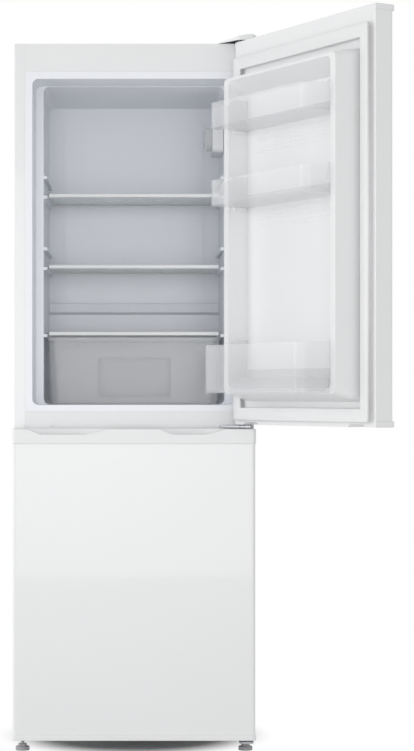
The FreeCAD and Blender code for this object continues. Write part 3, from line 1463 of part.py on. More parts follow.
def freezer_drawer(floor, top, depth):
    """Moulded freezer drawer with drafted walls and a finger slot across its front."""
    outer = upright_loft(drawer_section(depth, 0, DRAWER_DRAFT), floor, drawer_section(depth, 0, 0), top)
    inner = upright_loft(
        drawer_section(depth, DRAWER_WALL, DRAWER_DRAFT),
        floor + DRAWER_WALL,
        drawer_section(depth, DRAWER_WALL, 0),
        top + 1.0,
    )
    tub = outer.cut(inner.cut(drawer_slot(top, 0.0)))
    return tub.cut(drawer_slot(top, DRAWER_WALL))


def drawer_levels():
    """Floor, top and depth of the three freezer drawers, from the top one down."""
    upper, lower = EVAPORATOR_HEIGHTS
    rise = EVAPORATOR_PLATE + DRAWER_SEAT_GAP
    drop = EVAPORATOR_TUBE + DRAWER_TOP_GAP
    return [
        (upper + rise, FREEZER_TOP - DRAWER_TOP_GAP, DRAWER_DEPTH),
        (lower + rise, upper - drop, DRAWER_DEPTH),
        (FREEZER_FLOOR + DRAWER_SEAT_GAP, lower - drop, LOW_DRAWER_DEPTH),
    ]


def evaporator_shelf(height):
    """Cooling shelf: a plate on the side ledges with cooling tubes brazed under it."""
    half = FREEZER_HALF - FREEZER_TAPER - EVAPORATOR_SIDE_GAP
    front = FRONT + EVAPORATOR_SETBACK
    plate = block(-half, half, front, EVAPORATOR_REAR, height, height + EVAPORATOR_PLATE)
    tube_half = half - 2.5 * EVAPORATOR_LEDGE
    radius = EVAPORATOR_TUBE / 2
    pitch = (HUMP_FACE - front) / (EVAPORATOR_PASSES + 1)
    tubes = []
    for index in range(EVAPORATOR_PASSES):
        start = Vector(-tube_half, front + pitch * (index + 1), height - radius + 0.6)
        tubes.append(rod(radius, 2 * tube_half, start, Vector(1, 0, 0)))
    return fused(plate, *tubes)


def freezer_evaporator():
    """Both cooling shelves, joined by the riser tubes behind the drawers."""
    upper, lower = EVAPORATOR_HEIGHTS
    risers = []
    depth = EVAPORATOR_REAR - EVAPORATOR_TUBE
    for side in (-1.0, 1.0):
        foot = Vector(side * FREEZER_HALF * 0.6, depth, lower + EVAPORATOR_PLATE / 2)
        risers.append(rod(EVAPORATOR_TUBE / 2, upper - lower, foot, Vector(0, 0, 1)))
    return fused(evaporator_shelf(upper), evaporator_shelf(lower), *risers)


# ================================================================ base frame, feet and rollers
def rail_inner_x():
    """X of the inner edge of the right base rail."""
    return FOAM_HALF - FIT_GAP - BASE_RAIL_WIDTH


def base_frame():
    """Welded steel base: channel rails, kick strip, floor sheet and machine plate."""
    outer = FOAM_HALF - FIT_GAP
    inner = rail_inner_x()
    low = BASE_HEIGHT
    high = BASE_TOP
    wall = BASE_WALL
    channel = [
        (outer, low, 0),
        (outer, high, 0),
        (inner, high, 0),
        (inner, high - wall, 0),
        (outer - wall, high - wall, 0),
        (outer - wall, low + wall, 0),
        (inner, low + wall, 0),
        (inner, low, 0),
    ]
    right_rail = facing_prism(channel, FRONT + SIDE_BEND, BACK - SHEET)
    kick = [
        (FRONT, low, 0),
        (FRONT + BASE_FRONT_DEPTH, low, 0),
        (FRONT + BASE_FRONT_DEPTH, low + wall, 0),
        (FRONT + wall, low + wall, 0),
        (FRONT + wall, KICK_TOP, 0),
        (FRONT, KICK_TOP, 0),
    ]
    side = FLANGE_EDGE - FIT_GAP
    front_member = sideways_prism(kick, -side, side)
    sheet = block(-outer, outer, FRONT + wall, BAY_FACE, high - wall, high)
    boss = rod(FOOT_BOSS / 2, FOOT_STEM_TOP - low, Vector(FOOT_X, FOOT_Y, low), Vector(0, 0, 1))
    pieces = [mirrored(right_rail), front_member, sheet, boss, mirrored(boss), machine_plate()]
    frame = fused(right_rail, *pieces)
    stem = rod(FOOT_STEM / 2 + PIN_CLEARANCE, FOOT_STEM_TOP, Vector(FOOT_X, FOOT_Y, low - 1.0), Vector(0, 0, 1))
    return frame.cut(stem).cut(mirrored(stem))


def levelling_foot():
    """Right front foot: a sole disc, a hexagon for the spanner and a threaded stem."""
    base = Vector(FOOT_X, FOOT_Y, 0)
    disc = rod(FOOT_DIAMETER / 2, FOOT_DISC, base, Vector(0, 0, 1))
    disc = rounded_edges(disc, 2.0, lambda edge: edge.Closed and abs(edge.CenterOfMass.z - FOOT_DISC) < 0.01)
    corner = FOOT_HEX / math.sqrt(3)
    hexagon = []
    for index in range(6):
        angle = math.radians(60.0 * index)
        hexagon.append((FOOT_X + corner * math.cos(angle), FOOT_Y + corner * math.sin(angle), 0))
    nut = upright_prism(hexagon, FOOT_DISC, FOOT_DISC + FOOT_HEX_HEIGHT)
    stem = rod(FOOT_STEM / 2, FOOT_STEM_TOP - FOOT_DISC, Vector(FOOT_X, FOOT_Y, FOOT_DISC), Vector(0, 0, 1))
    return fused(disc, nut, stem)


def roller():
    """Right rear roller with a softened tread and a bore for its axle."""
    start = Vector(ROLLER_X - ROLLER_WIDTH / 2, ROLLER_Y, ROLLER_Z)
    wheel = rod(ROLLER_DIAMETER / 2, ROLLER_WIDTH, start, Vector(1, 0, 0))
    wheel = rounded_edges(wheel, 1.5, lambda edge: edge.Closed)
    groove = ring(ROLLER_DIAMETER / 2 - 4.0, AXLE_DIAMETER / 2 + 3.0, 2.0, start - Vector(0.5, 0, 0), Vector(1, 0, 0))
    bore = rod(AXLE_DIAMETER / 2 + PIN_CLEARANCE, ROLLER_WIDTH, start, Vector(1, 0, 0))
    return wheel.cut(groove).cut(bore)


def roller_axles():
    """The two headed pins that the rollers turn on."""
    reach = ROLLER_WIDTH / 2 + ROLLER_SIDE_GAP + EAR_WALL
    start = Vector(ROLLER_X - reach, ROLLER_Y, ROLLER_Z)
    shank = rod(AXLE_DIAMETER / 2, 2 * reach, start, Vector(1, 0, 0))
    head = rod(AXLE_HEAD / 2, 2.0, start - Vector(2.0, 0, 0), Vector(1, 0, 0))
    axle = fused(shank, head)
    return Part.makeCompound([axle, mirrored(axle)])


def machine_plate():
    """Plate across the back of the base that carries the compressor and the rear rollers."""
    web = FOAM_HALF - FIT_GAP - BASE_WALL
    low = MACHINE_PLATE_LOW
    rear = MACHINE_PLATE_REAR
    front = rear - MACHINE_PLATE_DEPTH
    lip = low - MACHINE_PLATE_LIP
    profile = [
        (front, lip, 0),
        (front, MACHINE_PLATE_TOP, 3.0),
        (rear, MACHINE_PLATE_TOP, 3.0),
        (rear, lip, 0),
        (rear - BASE_WALL, lip, 0),
        (rear - BASE_WALL, low, 1.0),
        (front + BASE_WALL, low, 1.0),
        (front + BASE_WALL, lip, 0),
    ]
    plate = sideways_prism(profile, -web, web)
    gap = ROLLER_WIDTH / 2 + ROLLER_SIDE_GAP
    ears = []
    for start in (ROLLER_X + gap, ROLLER_X - gap - EAR_WALL):
        outline = [
            (ROLLER_Y - EAR_HALF, low + 1.0, 0),
            (ROLLER_Y - EAR_HALF * 0.65, ROLLER_Z - EAR_FOOT, 7.0),
            (ROLLER_Y + EAR_HALF * 0.65, ROLLER_Z - EAR_FOOT, 7.0),
            (ROLLER_Y + EAR_HALF, low + 1.0, 0),
        ]
        ear = sideways_prism(outline, start, start + EAR_WALL)
        ears += [ear, mirrored(ear)]
    plate = fused(plate, *ears)
    reach = gap + EAR_WALL
    bore = rod(AXLE_DIAMETER / 2, 2 * reach, Vector(ROLLER_X - reach, ROLLER_Y, ROLLER_Z), Vector(1, 0, 0))
    return plate.cut(bore).cut(mirrored(bore))


# ================================================================ cooling machinery in the bay behind
def compressor_shell():
    """The sealed can: a lower and an upper pressing, welded at a rim."""
    radius = COMPRESSOR_RADIUS
    upper_radius = radius - COMPRESSOR_WALL
    low = COMPRESSOR_Z
    high = COMPRESSOR_TOP
    rim_top = low + COMPRESSOR_HEIGHT * COMPRESSOR_RIM_SHARE
    rim_low = rim_top - COMPRESSOR_RIM
    dome = COMPRESSOR_DOME
    slant = dome * math.sqrt(0.5)
    sides = [
        Vector(radius, 0, low + dome),
        Vector(radius, 0, rim_low),
        Vector(radius + COMPRESSOR_RIM, 0, rim_low),
        Vector(radius + COMPRESSOR_RIM, 0, rim_top),
        Vector(upper_radius, 0, rim_top),
        Vector(upper_radius, 0, high - dome),
    ]
    foot = Vector(radius - dome, 0, low)
    foot_bend = Vector(foot.x + slant, 0, low + dome - slant)
    crown = Vector(upper_radius - dome, 0, high)
    crown_bend = Vector(crown.x + slant, 0, high - dome + slant)
    edges = [Part.LineSegment(Vector(0, 0, low), foot).toShape()]
    edges.append(Part.Arc(foot, foot_bend, sides[0]).toShape())
    for first, second in zip(sides, sides[1:]):
        edges.append(Part.LineSegment(first, second).toShape())
    edges.append(Part.Arc(sides[-1], crown_bend, crown).toShape())
    edges.append(Part.LineSegment(crown, Vector(0, 0, high)).toShape())
    edges.append(Part.LineSegment(Vector(0, 0, high), Vector(0, 0, low)).toShape())
    can = Part.Face(Part.Wire(edges)).revolve(Vector(0, 0, 0), Vector(0, 0, 1), 360)
    can.translate(Vector(COMPRESSOR_OFFSET, COMPRESSOR_Y, 0))
    return can


def compressor_foot_places():
    """The four mounting holes of the compressor."""
    places = []
    for along in (-1.0, 1.0):
        for across in (-1.0, 1.0):
            x = COMPRESSOR_OFFSET + along * (COMPRESSOR_FOOT_LENGTH / 2 - COMPRESSOR_FOOT_WIDTH / 2)
            places.append((x, COMPRESSOR_Y + across * COMPRESSOR_FOOT_SPREAD / 2))
    return places


def compressor():
    """Compressor can on its two stamped feet."""
    feet = []
    half = COMPRESSOR_FOOT_LENGTH / 2
    low = COMPRESSOR_FOOT_Z
    for across in (-1.0, 1.0):
        centre = COMPRESSOR_Y + across * COMPRESSOR_FOOT_SPREAD / 2
        width = COMPRESSOR_FOOT_WIDTH / 2
        plan = rectangle(COMPRESSOR_OFFSET - half, COMPRESSOR_OFFSET + half, centre - width, centre + width, width - 1.0)
        feet.append(upright_prism(plan, low, low + COMPRESSOR_FOOT_PLATE))
    saddle = block(
        COMPRESSOR_OFFSET - 30.0,
        COMPRESSOR_OFFSET + 30.0,
        COMPRESSOR_Y - COMPRESSOR_FOOT_SPREAD / 2,
        COMPRESSOR_Y + COMPRESSOR_FOOT_SPREAD / 2,
        low,
        low + COMPRESSOR_FOOT_PLATE,
    )
    body = fused(compressor_shell(), saddle, *feet)
    for x, y in compressor_foot_places():
        body = body.cut(rod(GROMMET_RADIUS * 0.4, COMPRESSOR_FOOT_PLATE, Vector(x, y, low), Vector(0, 0, 1)))
    return body


def compressor_grommets():
    """Four rubber mounts between the compressor feet and the machine plate."""
    grommets = []
    for x, y in compressor_foot_places():
        start = Vector(x, y, MACHINE_PLATE_TOP)
        grommets.append(ring(GROMMET_RADIUS, GROMMET_RADIUS * 0.4, GROMMET_HEIGHT, start, Vector(0, 0, 1)))
    return Part.makeCompound(grommets)


def starter_box():
    """Cover of the starter and overload switch on the side of the compressor."""
    left = COMPRESSOR_OFFSET + COMPRESSOR_RADIUS - 14.0
    plan = rectangle(left, left + RELAY_DEPTH, COMPRESSOR_Y - RELAY_WIDTH / 2, COMPRESSOR_Y + RELAY_WIDTH / 2, 5.0)
    low = COMPRESSOR_Z + COMPRESSOR_DOME
    return upright_prism(plan, low, low + RELAY_HEIGHT).cut(compressor_shell())


def tray_plan(inset):
    """Plan outline of the drip tray, made smaller by an inset."""
    half = DRIP_TRAY_WIDTH / 2 - inset
    depth = DRIP_TRAY_DEPTH / 2 - inset
    left = COMPRESSOR_OFFSET - half
    right = COMPRESSOR_OFFSET + half
    return rectangle(left, right, COMPRESSOR_Y - depth, COMPRESSOR_Y + depth, 14.0 - inset)


def drip_tray():
    """Tray on the compressor's crown, in which melt water dries off."""
    low = COMPRESSOR_TOP
    high = low + DRIP_TRAY_HEIGHT
    wall = DRIP_TRAY_WALL
    outer = upright_loft(tray_plan(DRIP_TRAY_DRAFT), low, tray_plan(0.0), high)
    inner = upright_loft(tray_plan(DRIP_TRAY_DRAFT + wall), low + wall, tray_plan(wall), high)
    return outer.cut(inner)


def condenser_path():
    """Centre line of the condenser tube: up from the bay, across and back, and down again."""
    knee = RETURN_GAP
    slant = knee * math.sqrt(0.5)
    bend = CONDENSER_PITCH / 2
    start = Vector(CONDENSER_HALF, CONDENSER_Y, CONDENSER_TAIL)
    rise = Vector(CONDENSER_HALF, CONDENSER_Y, CONDENSER_LOW - knee)
    reached = Vector(CONDENSER_HALF - knee, CONDENSER_Y, CONDENSER_LOW)
    middle = Vector(reached.x + slant, CONDENSER_Y, rise.z + slant)
    edges = [Part.LineSegment(start, rise).toShape(), Part.Arc(rise, middle, reached).toShape()]
    for index in range(CONDENSER_PASSES - 1):
        way = -1.0 if index % 2 == 0 else 1.0
        height = CONDENSER_LOW + CONDENSER_PITCH * index
        end = Vector(way * CONDENSER_RUN, CONDENSER_Y, height)
        crown = Vector(way * (CONDENSER_RUN + bend), CONDENSER_Y, height + bend)
        following = Vector(way * CONDENSER_RUN, CONDENSER_Y, height + CONDENSER_PITCH)
        edges.append(Part.LineSegment(reached, end).toShape())
        edges.append(Part.Arc(end, crown, following).toShape())
        reached = following
    end = Vector(RETURN_X + knee, CONDENSER_Y, CONDENSER_HIGH)
    fall = Vector(RETURN_X, CONDENSER_Y, CONDENSER_HIGH - knee)
    middle = Vector(end.x - slant, CONDENSER_Y, fall.z + slant)
    tail = Vector(RETURN_X, CONDENSER_Y, CONDENSER_TAIL)
    edges.append(Part.LineSegment(reached, end).toShape())
    edges.append(Part.Arc(end, middle, fall).toShape())
    edges.append(Part.LineSegment(fall, tail).toShape())
    return Part.Wire(edges)


def condenser():
    """Wire-on-tube condenser with its upright wires and the tabs that space it off the back."""
    path = condenser_path()
    start = Vector(CONDENSER_HALF, CONDENSER_Y, CONDENSER_TAIL)
    section = Part.Wire([Part.Circle(start, Vector(0, 0, 1), CONDENSER_TUBE / 2).toShape()])
    tube = path.makePipe(Part.Face(section))
    tabs = []
    radius = CONDENSER_WIRE / 2
    low = CONDENSER_LOW - WIRE_OVERRUN
    length = CONDENSER_HIGH + WIRE_OVERRUN - low
    first = -CONDENSER_RUN + RETURN_GAP
    pitch = -2 * first / (CONDENSER_WIRES - 1)
    wires = []
    for index in range(CONDENSER_WIRES):
        for side in (-1.0, 1.0):
            depth = CONDENSER_Y + side * (CONDENSER_TUBE / 2 + radius)
            wires.append(rod(radius, length, Vector(first + pitch * index, depth, low), Vector(0, 0, 1)))
    for side in (-1.0, 1.0):
        for index in (1, CONDENSER_PASSES - 2):
            x = side * (CONDENSER_RUN - TAB_HALF)
            height = CONDENSER_LOW + CONDENSER_PITCH * index
            plan = rectangle(x - TAB_HALF, x + TAB_HALF, height - TAB_HALF, height + TAB_HALF, 3.0)
            tabs.append(facing_prism(plan, BACK, CONDENSER_Y))
    return Part.makeCompound([fused(tube, *tabs)] + wires)


def dryer_body():
    """Copper filter dryer with its necked ends, upright against the front of the bay."""
    radius = DRYER_RADIUS
    length = DRYER_LENGTH
    shoulder = DRYER_SHOULDER
    outline = [
        Vector(0, 0, 0),
        Vector(DRYER_NECK, 0, 0),
        Vector(radius, 0, shoulder),
        Vector(radius, 0, length - shoulder),
        Vector(DRYER_NECK, 0, length),
        Vector(0, 0, length),
    ]
    body = Part.Face(Part.makePolygon(outline + [outline[0]])).revolve(Vector(0, 0, 0), Vector(0, 0, 1), 360)
    body.translate(Vector(DRYER_X, BAY_FACE + SHEET + radius, DRYER_FOOT))
    return body


def refrigerant_pipes():
    """Copper pipework: discharge, suction and return pipes, filter dryer and capillary."""
    ceiling = BAY_TOP - SHEET
    side = COMPRESSOR_OFFSET + COMPRESSOR_RADIUS
    depth = COMPRESSOR_Y + COMPRESSOR_RADIUS / 2
    discharge = bent_tube(
        [
            Vector(COMPRESSOR_OFFSET + COMPRESSOR_RADIUS / 2, depth, DISCHARGE_LEVEL),
            Vector(side + 2 * PIPE_BEND, depth, DISCHARGE_LEVEL),
            Vector(CONDENSER_HALF, CONDENSER_Y, DISCHARGE_LEVEL),
            Vector(CONDENSER_HALF, CONDENSER_Y, CONDENSER_TAIL),
        ],
        PIPE_DIAMETER / 2,
        PIPE_BEND,
    )
    left = COMPRESSOR_OFFSET - COMPRESSOR_RADIUS
    suction = bent_tube(
        [
            Vector(left + 2 * PIPE_BEND, COMPRESSOR_Y, DISCHARGE_LEVEL),
            Vector(left - 2 * PIPE_BEND, COMPRESSOR_Y, DISCHARGE_LEVEL),
            Vector(left - 2 * PIPE_BEND, COMPRESSOR_Y, ceiling),
        ],
        SUCTION_DIAMETER / 2,
        PIPE_BEND,
    )
    dryer_y = BAY_FACE + SHEET + DRYER_RADIUS
    back_line = bent_tube(
        [
            Vector(RETURN_X, CONDENSER_Y, CONDENSER_TAIL),
            Vector(RETURN_X, CONDENSER_Y, RETURN_LEVEL),
            Vector(RETURN_X, dryer_y, RETURN_LEVEL),
            Vector(DRYER_X, dryer_y, RETURN_LEVEL),
            Vector(DRYER_X, dryer_y, DRYER_FOOT + 1.0),
        ],
        PIPE_DIAMETER / 2,
        PIPE_BEND,
    )
    top = DRYER_FOOT + DRYER_LENGTH
    capillary = rod(CAPILLARY_DIAMETER / 2, ceiling - top + 1.0, Vector(DRYER_X, dryer_y, top - 1.0), Vector(0, 0, 1))
    shell = compressor_shell()
    return Part.makeCompound([discharge.cut(shell), suction.cut(shell), fused(dryer_body(), back_line, capillary)])


# ================================================================ the whole refrigerator
def cabinet_pieces():
    """Every piece that stands still with the cabinet."""
    left = side_panel()
    pieces = {
        "side_panel_left": left,
        "side_panel_right": mirrored(left),
        "top_panel": top_panel(),
        "back_panel": back_panel(),
        "fridge_liner": fridge_liner(),
        "freezer_liner": freezer_liner(),
        "insulation_foam": insulation(),
        "crossbar": crossbar(),
        "base_frame": base_frame(),
        "roller_axles": roller_axles(),
        "middle_hinge": middle_hinge(),
        "bottom_hinge": bottom_hinge(),
        "top_hinge": top_hinge(),
        "hinge_cover": hinge_cover(),
        "hinge_screws": hinge_screws(),
        "crossbar_plug": plug_cap(),
        "shelf_glass_upper": shelf_glass(SHELF_HEIGHTS[0]),
        "shelf_glass_lower": shelf_glass(SHELF_HEIGHTS[1]),
        "crisper_cover_glass": shelf_glass(CRISPER_COVER_HEIGHT),
        "shelf_trims_upper": shelf_trims(SHELF_HEIGHTS[0]),
        "shelf_trims_lower": shelf_trims(SHELF_HEIGHTS[1]),
        "crisper_cover_trims": shelf_trims(CRISPER_COVER_HEIGHT),
        "thermostat_housing": thermostat_housing(),
        "lamp_lens": lamp_lens(),
        "lamp": lamp(),
        "lamp_switch_socket": switch_socket(),
        "freezer_evaporator": freezer_evaporator(),
        "compressor": compressor(),
        "compressor_grommets": compressor_grommets(),
        "starter_box": starter_box(),
        "drip_tray": drip_tray(),
        "condenser": condenser(),
        "refrigerant_pipes": refrigerant_pipes(),
    }
    return pieces


def moving_pieces():
    """Pieces that turn or slide by themselves: drawers, dial, button, feet and rollers."""
    foot = levelling_foot()
    wheel = roller()
    pieces = {
        "crisper_drawer": crisper_drawer(),
        "thermostat_knob": thermostat_knob(),
        "lamp_switch_button": switch_button(),
        "foot_left": mirrored(foot),
        "foot_right": foot,
        "roller_left": mirrored(wheel),
        "roller_right": wheel,
    }
    names = ("freezer_drawer_top", "freezer_drawer_middle", "freezer_drawer_bottom")
    for name, level in zip(names, drawer_levels()):
        pieces[name] = freezer_drawer(*level)
    return pieces


def fridge_door_pieces():
    """Every piece of the refrigerator door, closed."""
    low = FRIDGE_DOOR_BOTTOM
    high = FRIDGE_DOOR_TOP
    cap_low = fridge_cap_bottom()
    cap_high = fridge_cap_top()
    core = fridge_plug(LINER_WALL)
    hollows = [cap_low, cap_high, bush_bore(low, low + BUSH_LENGTH), bush_bore(high - BUSH_LENGTH, high)]
    bushes = door_bushes(low, high)
    pieces = {
        "fridge_door_skin": door_skin(low + CAP_RIM, high - CAP_RIM),
        "fridge_door_cap_top": cap_high,
        "fridge_door_cap_bottom": cap_low,
        "fridge_door_liner": fridge_door_liner(),
        "fridge_door_foam": door_foam(low + CAP_RIM, high - CAP_RIM, core, hollows),
        "fridge_door_gasket": gasket(low + GASKET_NEAR_MARGIN, high - GASKET_FAR_MARGIN),
        "fridge_door_bushes": Part.makeCompound(bushes),
        "balcony_upper": balcony(BALCONY_BASES[0], BALCONY_HEIGHT, BALCONY_REACH),
        "balcony_middle": balcony(BALCONY_BASES[1], BALCONY_HEIGHT, BALCONY_REACH),
        "bottle_rack": balcony(RACK_BASE, RACK_HEIGHT, RACK_REACH),
    }
    return pieces


def freezer_door_pieces():
    """Every piece of the freezer door, closed."""
    low = DOOR_FLOOR_GAP
    high = FREEZER_DOOR_TOP
    cap_low = freezer_cap_bottom()
    cap_high = freezer_cap_top()
    core = freezer_plug(LINER_WALL)
    hollows = [cap_low, cap_high, bush_bore(low, low + BUSH_LENGTH), bush_bore(high - BUSH_LENGTH, high)]
    bushes = door_bushes(low, high)
    pieces = {
        "freezer_door_skin": door_skin(low + CAP_RIM, high - TRIM_HEIGHT),
        "freezer_door_cap_top": cap_high,
        "freezer_door_cap_bottom": cap_low,
        "freezer_door_liner": freezer_door_liner(),
        "freezer_door_foam": door_foam(low + CAP_RIM, high - TRIM_HEIGHT, core, hollows),
        "freezer_door_gasket": gasket(low + GASKET_FOOT_MARGIN, high - GASKET_NEAR_MARGIN),
        "freezer_door_bushes": Part.makeCompound(bushes),
    }
    return pieces


def whole_refrigerator():
    """Every named piece where it stands, with the origin under the middle of the whole."""
    pieces = {}
    pieces.update(cabinet_pieces())
    pieces.update(moving_pieces())
    pieces.update(freezer_door_pieces())
    for name, shape in fridge_door_pieces().items():
        pieces[name] = opened(shape)
    outermost = [pieces["fridge_door_cap_top"], pieces["freezer_door_cap_top"], pieces["condenser"]]
    box = Part.makeCompound(outermost).optimalBoundingBox(False, False)
    shift = Vector(-(box.XMin + box.XMax) / 2, -(box.YMin + box.YMax) / 2, 0)
    for shape in pieces.values():
        shape.translate(shift)
    return pieces, shift


def main():
    pieces, shift = whole_refrigerator()
    os.makedirs("parts", exist_ok=True)
    for name, shape in pieces.items():
        shape.exportStep("parts/" + name + ".step")
    print("pieces", len(pieces), "origin shift", round(shift.x, 3), round(shift.y, 3), round(shift.z, 3))


main()
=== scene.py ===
"""Dresses the refrigerator's frame: finishes, door seals, screws, ribs, floor, lamps and camera."""

import json
import math

import bmesh
import bpy
from bpy.props import FloatProperty, FloatVectorProperty, IntProperty, PointerProperty
from mathutils import Matrix, Vector


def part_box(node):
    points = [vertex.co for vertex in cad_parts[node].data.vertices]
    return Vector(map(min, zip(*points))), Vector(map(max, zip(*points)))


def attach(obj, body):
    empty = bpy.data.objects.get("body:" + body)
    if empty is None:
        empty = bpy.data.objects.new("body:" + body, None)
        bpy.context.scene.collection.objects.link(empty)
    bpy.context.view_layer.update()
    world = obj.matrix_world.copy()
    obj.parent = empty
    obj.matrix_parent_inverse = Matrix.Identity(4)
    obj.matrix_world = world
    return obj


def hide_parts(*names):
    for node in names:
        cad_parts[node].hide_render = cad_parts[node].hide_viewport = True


bl_info = {
    "name": "Bottom freezer refrigerator",
    "version": (1, 0, 0),
    "blender": (4, 5, 0),
    "location": "3D View > Sidebar > Refrigerator",
    "description": "Finishes and small parts for a refrigerator with a bottom freezer",
    "category": "Object",
}

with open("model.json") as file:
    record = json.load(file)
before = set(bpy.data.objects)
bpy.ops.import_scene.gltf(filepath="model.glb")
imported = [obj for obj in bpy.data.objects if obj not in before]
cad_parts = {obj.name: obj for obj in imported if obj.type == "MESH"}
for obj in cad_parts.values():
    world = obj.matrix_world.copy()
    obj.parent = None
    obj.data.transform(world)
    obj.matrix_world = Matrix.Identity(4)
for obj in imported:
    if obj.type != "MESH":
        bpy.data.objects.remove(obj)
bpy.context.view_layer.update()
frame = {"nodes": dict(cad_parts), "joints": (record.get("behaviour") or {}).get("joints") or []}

MM = 0.001

# ---------------------------------------------------------------- the picture
IMAGE_WIDTH = 414
IMAGE_HEIGHT = 751
VANISHING_COLUMN = 134.0
HORIZON_ROW = 396.0
FOCAL_PIXELS = 2065.5
SENSOR = 36.0

# ---------------------------------------------------------------- lamps, as seen from the middle of the front
KEY_PLACE = Vector((-3.6, -0.8, 0.5))
KEY_WIDTH = 2.4
FRONT_PLACE = Vector((0.0, -4.6, 0.0))
FRONT_WIDTH = 2.0

# ---------------------------------------------------------------- floor
FLOOR_GREY = (0.86, 0.86, 0.86, 1.0)
SHADOW_REACH = 0.20
SHADOW_FADE = 0.14
WHITE = (1.0, 1.0, 1.0, 1.0)

# ---------------------------------------------------------------- how strongly the finishes vary
RELIEF = 0.35
CLEAR_RELIEF = 0.3
CLEAR_MOTTLE = 0.03
CLEAR_POLISH_CHANGE = 0.04
CLEAR_COVER_CHANGE = 0.1
REFRACTION = 1.5

# ---------------------------------------------------------------- places taken from the frame
DOOR_JOINT = next(joint for joint in frame["joints"] if joint["name"] == "fridge_door_hinge")
HINGE_AXIS = Vector(DOOR_JOINT["pos_m"])
DOOR_OPENING = math.radians(-DOOR_JOINT["range_deg"][0])

# ---------------------------------------------------------------- finishes and the nodes that have them
PAINTED_STEEL = (
    "side_panel_left",
    "side_panel_right",
    "fridge_door_skin",
    "freezer_door_skin",
)
MOULDED_WHITE = (
    "top_panel",
    "crossbar",
    "hinge_cover",
    "crossbar_plug",
    "fridge_door_cap_top",
    "fridge_door_cap_bottom",
    "freezer_door_cap_top",
    "freezer_door_cap_bottom",
    "thermostat_housing",
    "thermostat_knob",
    "lamp_switch_socket",
    "lamp_switch_button",
    "shelf_trims_upper",
    "shelf_trims_lower",
    "crisper_cover_trims",
)
LINER_SHEET = ("fridge_liner", "freezer_liner")
DOOR_LINER_SHEET = ("fridge_door_liner", "freezer_door_liner")
FOAMED = ("insulation_foam", "fridge_door_foam", "freezer_door_foam")
GALVANISED = ("back_panel", "base_frame", "roller_axles")
HINGE_METAL = ("middle_hinge", "bottom_hinge", "top_hinge")
CLEAR_MOULDINGS = ("balcony_upper", "balcony_middle", "bottle_rack", "crisper_drawer")
FROSTED_MOULDINGS = ("freezer_drawer_top", "freezer_drawer_middle", "freezer_drawer_bottom")
GLASS_PLATES = ("shelf_glass_upper", "shelf_glass_lower", "crisper_cover_glass")
NYLON = ("fridge_door_bushes", "freezer_door_bushes", "roller_left", "roller_right")
FEET = ("foot_left", "foot_right")
SOFT_BLACK = ("compressor_grommets",)
BLACK_STEEL = ("compressor", "condenser")
BLACK_MOULDED = ("starter_box", "drip_tray")


# ================================================================ node graphs
class Signal:
    """A value on a node's output socket. Sums on it add the Math nodes that they need."""

    def __init__(self, graph, socket):
        self.graph = graph
        self.socket = socket

    def __add__(self, other):
        return self.graph.sum("ADD", self, other)

    def __radd__(self, other):
        return self.graph.sum("ADD", other, self)

    def __sub__(self, other):
        return self.graph.sum("SUBTRACT", self, other)

    def __rsub__(self, other):
        return self.graph.sum("SUBTRACT", other, self)

    def __mul__(self, other):
        return self.graph.sum("MULTIPLY", self, other)

    def __rmul__(self, other):
        return self.graph.sum("MULTIPLY", other, self)

    def __pow__(self, other):
        return self.graph.sum("POWER", self, other)


class Graph:
    """A node tree that is written from left to right."""

    def __init__(self, tree):
        self.tree = tree
        tree.nodes.clear()

    def node(self, kind, settings=None, values=None):
        """Adds a node: its settings come first, then the values or links of its sockets."""
        made = self.tree.nodes.new(kind)
        for name, setting in (settings or {}).items():
            setattr(made, name, setting)
        for name, value in (values or {}).items():
            if isinstance(value, Signal):
                self.tree.links.new(value.socket, made.inputs[name])
            else:
                made.inputs[name].default_value = value
        return made

    def out(self, kind, settings=None, values=None, output=0):
        """Adds a node and gives the signal on one of its outputs."""
        return Signal(self, self.node(kind, settings, values).outputs[output])

    def sum(self, operation, *values):
        """Adds a Math node."""
        return self.out("ShaderNodeMath", {"operation": operation}, dict(enumerate(values)))

    def feed(self, giver, taker, socket=0):
        """Links a node's first output, or a signal, to one socket of another node."""
        given = giver.socket if isinstance(giver, Signal) else giver.outputs[0]
        self.tree.links.new(given, taker.inputs[socket])


# ================================================================ materials
def new_material(name):
    """A material with nodes and the graph to write them in."""
    material = bpy.data.materials.new(name)
    material.use_nodes = True
    return material, Graph(material.node_tree)


def blend(graph, factor, first, second):
    """A colour between two, by a signal from 0 to 1."""
    return graph.out(
        "ShaderNodeMix",
        {"data_type": "RGBA"},
        {"Factor": factor, 6: first, 7: second},
        output=2,
    )


def spread(graph, size, detail=3.0, stretch=(1.0, 1.0, 1.0)):
    """Soft noise from 0 to 1 whose blotches are about this size in metres."""
    place = graph.out("ShaderNodeTexCoord", output="Object")
    scaled = graph.out("ShaderNodeMapping", {}, {"Vector": place, "Scale": stretch})
    return graph.out(
        "ShaderNodeTexNoise",
        {"noise_dimensions": "3D"},
        {"Vector": scaled, "Scale": 1.0 / size, "Detail": detail},
    )


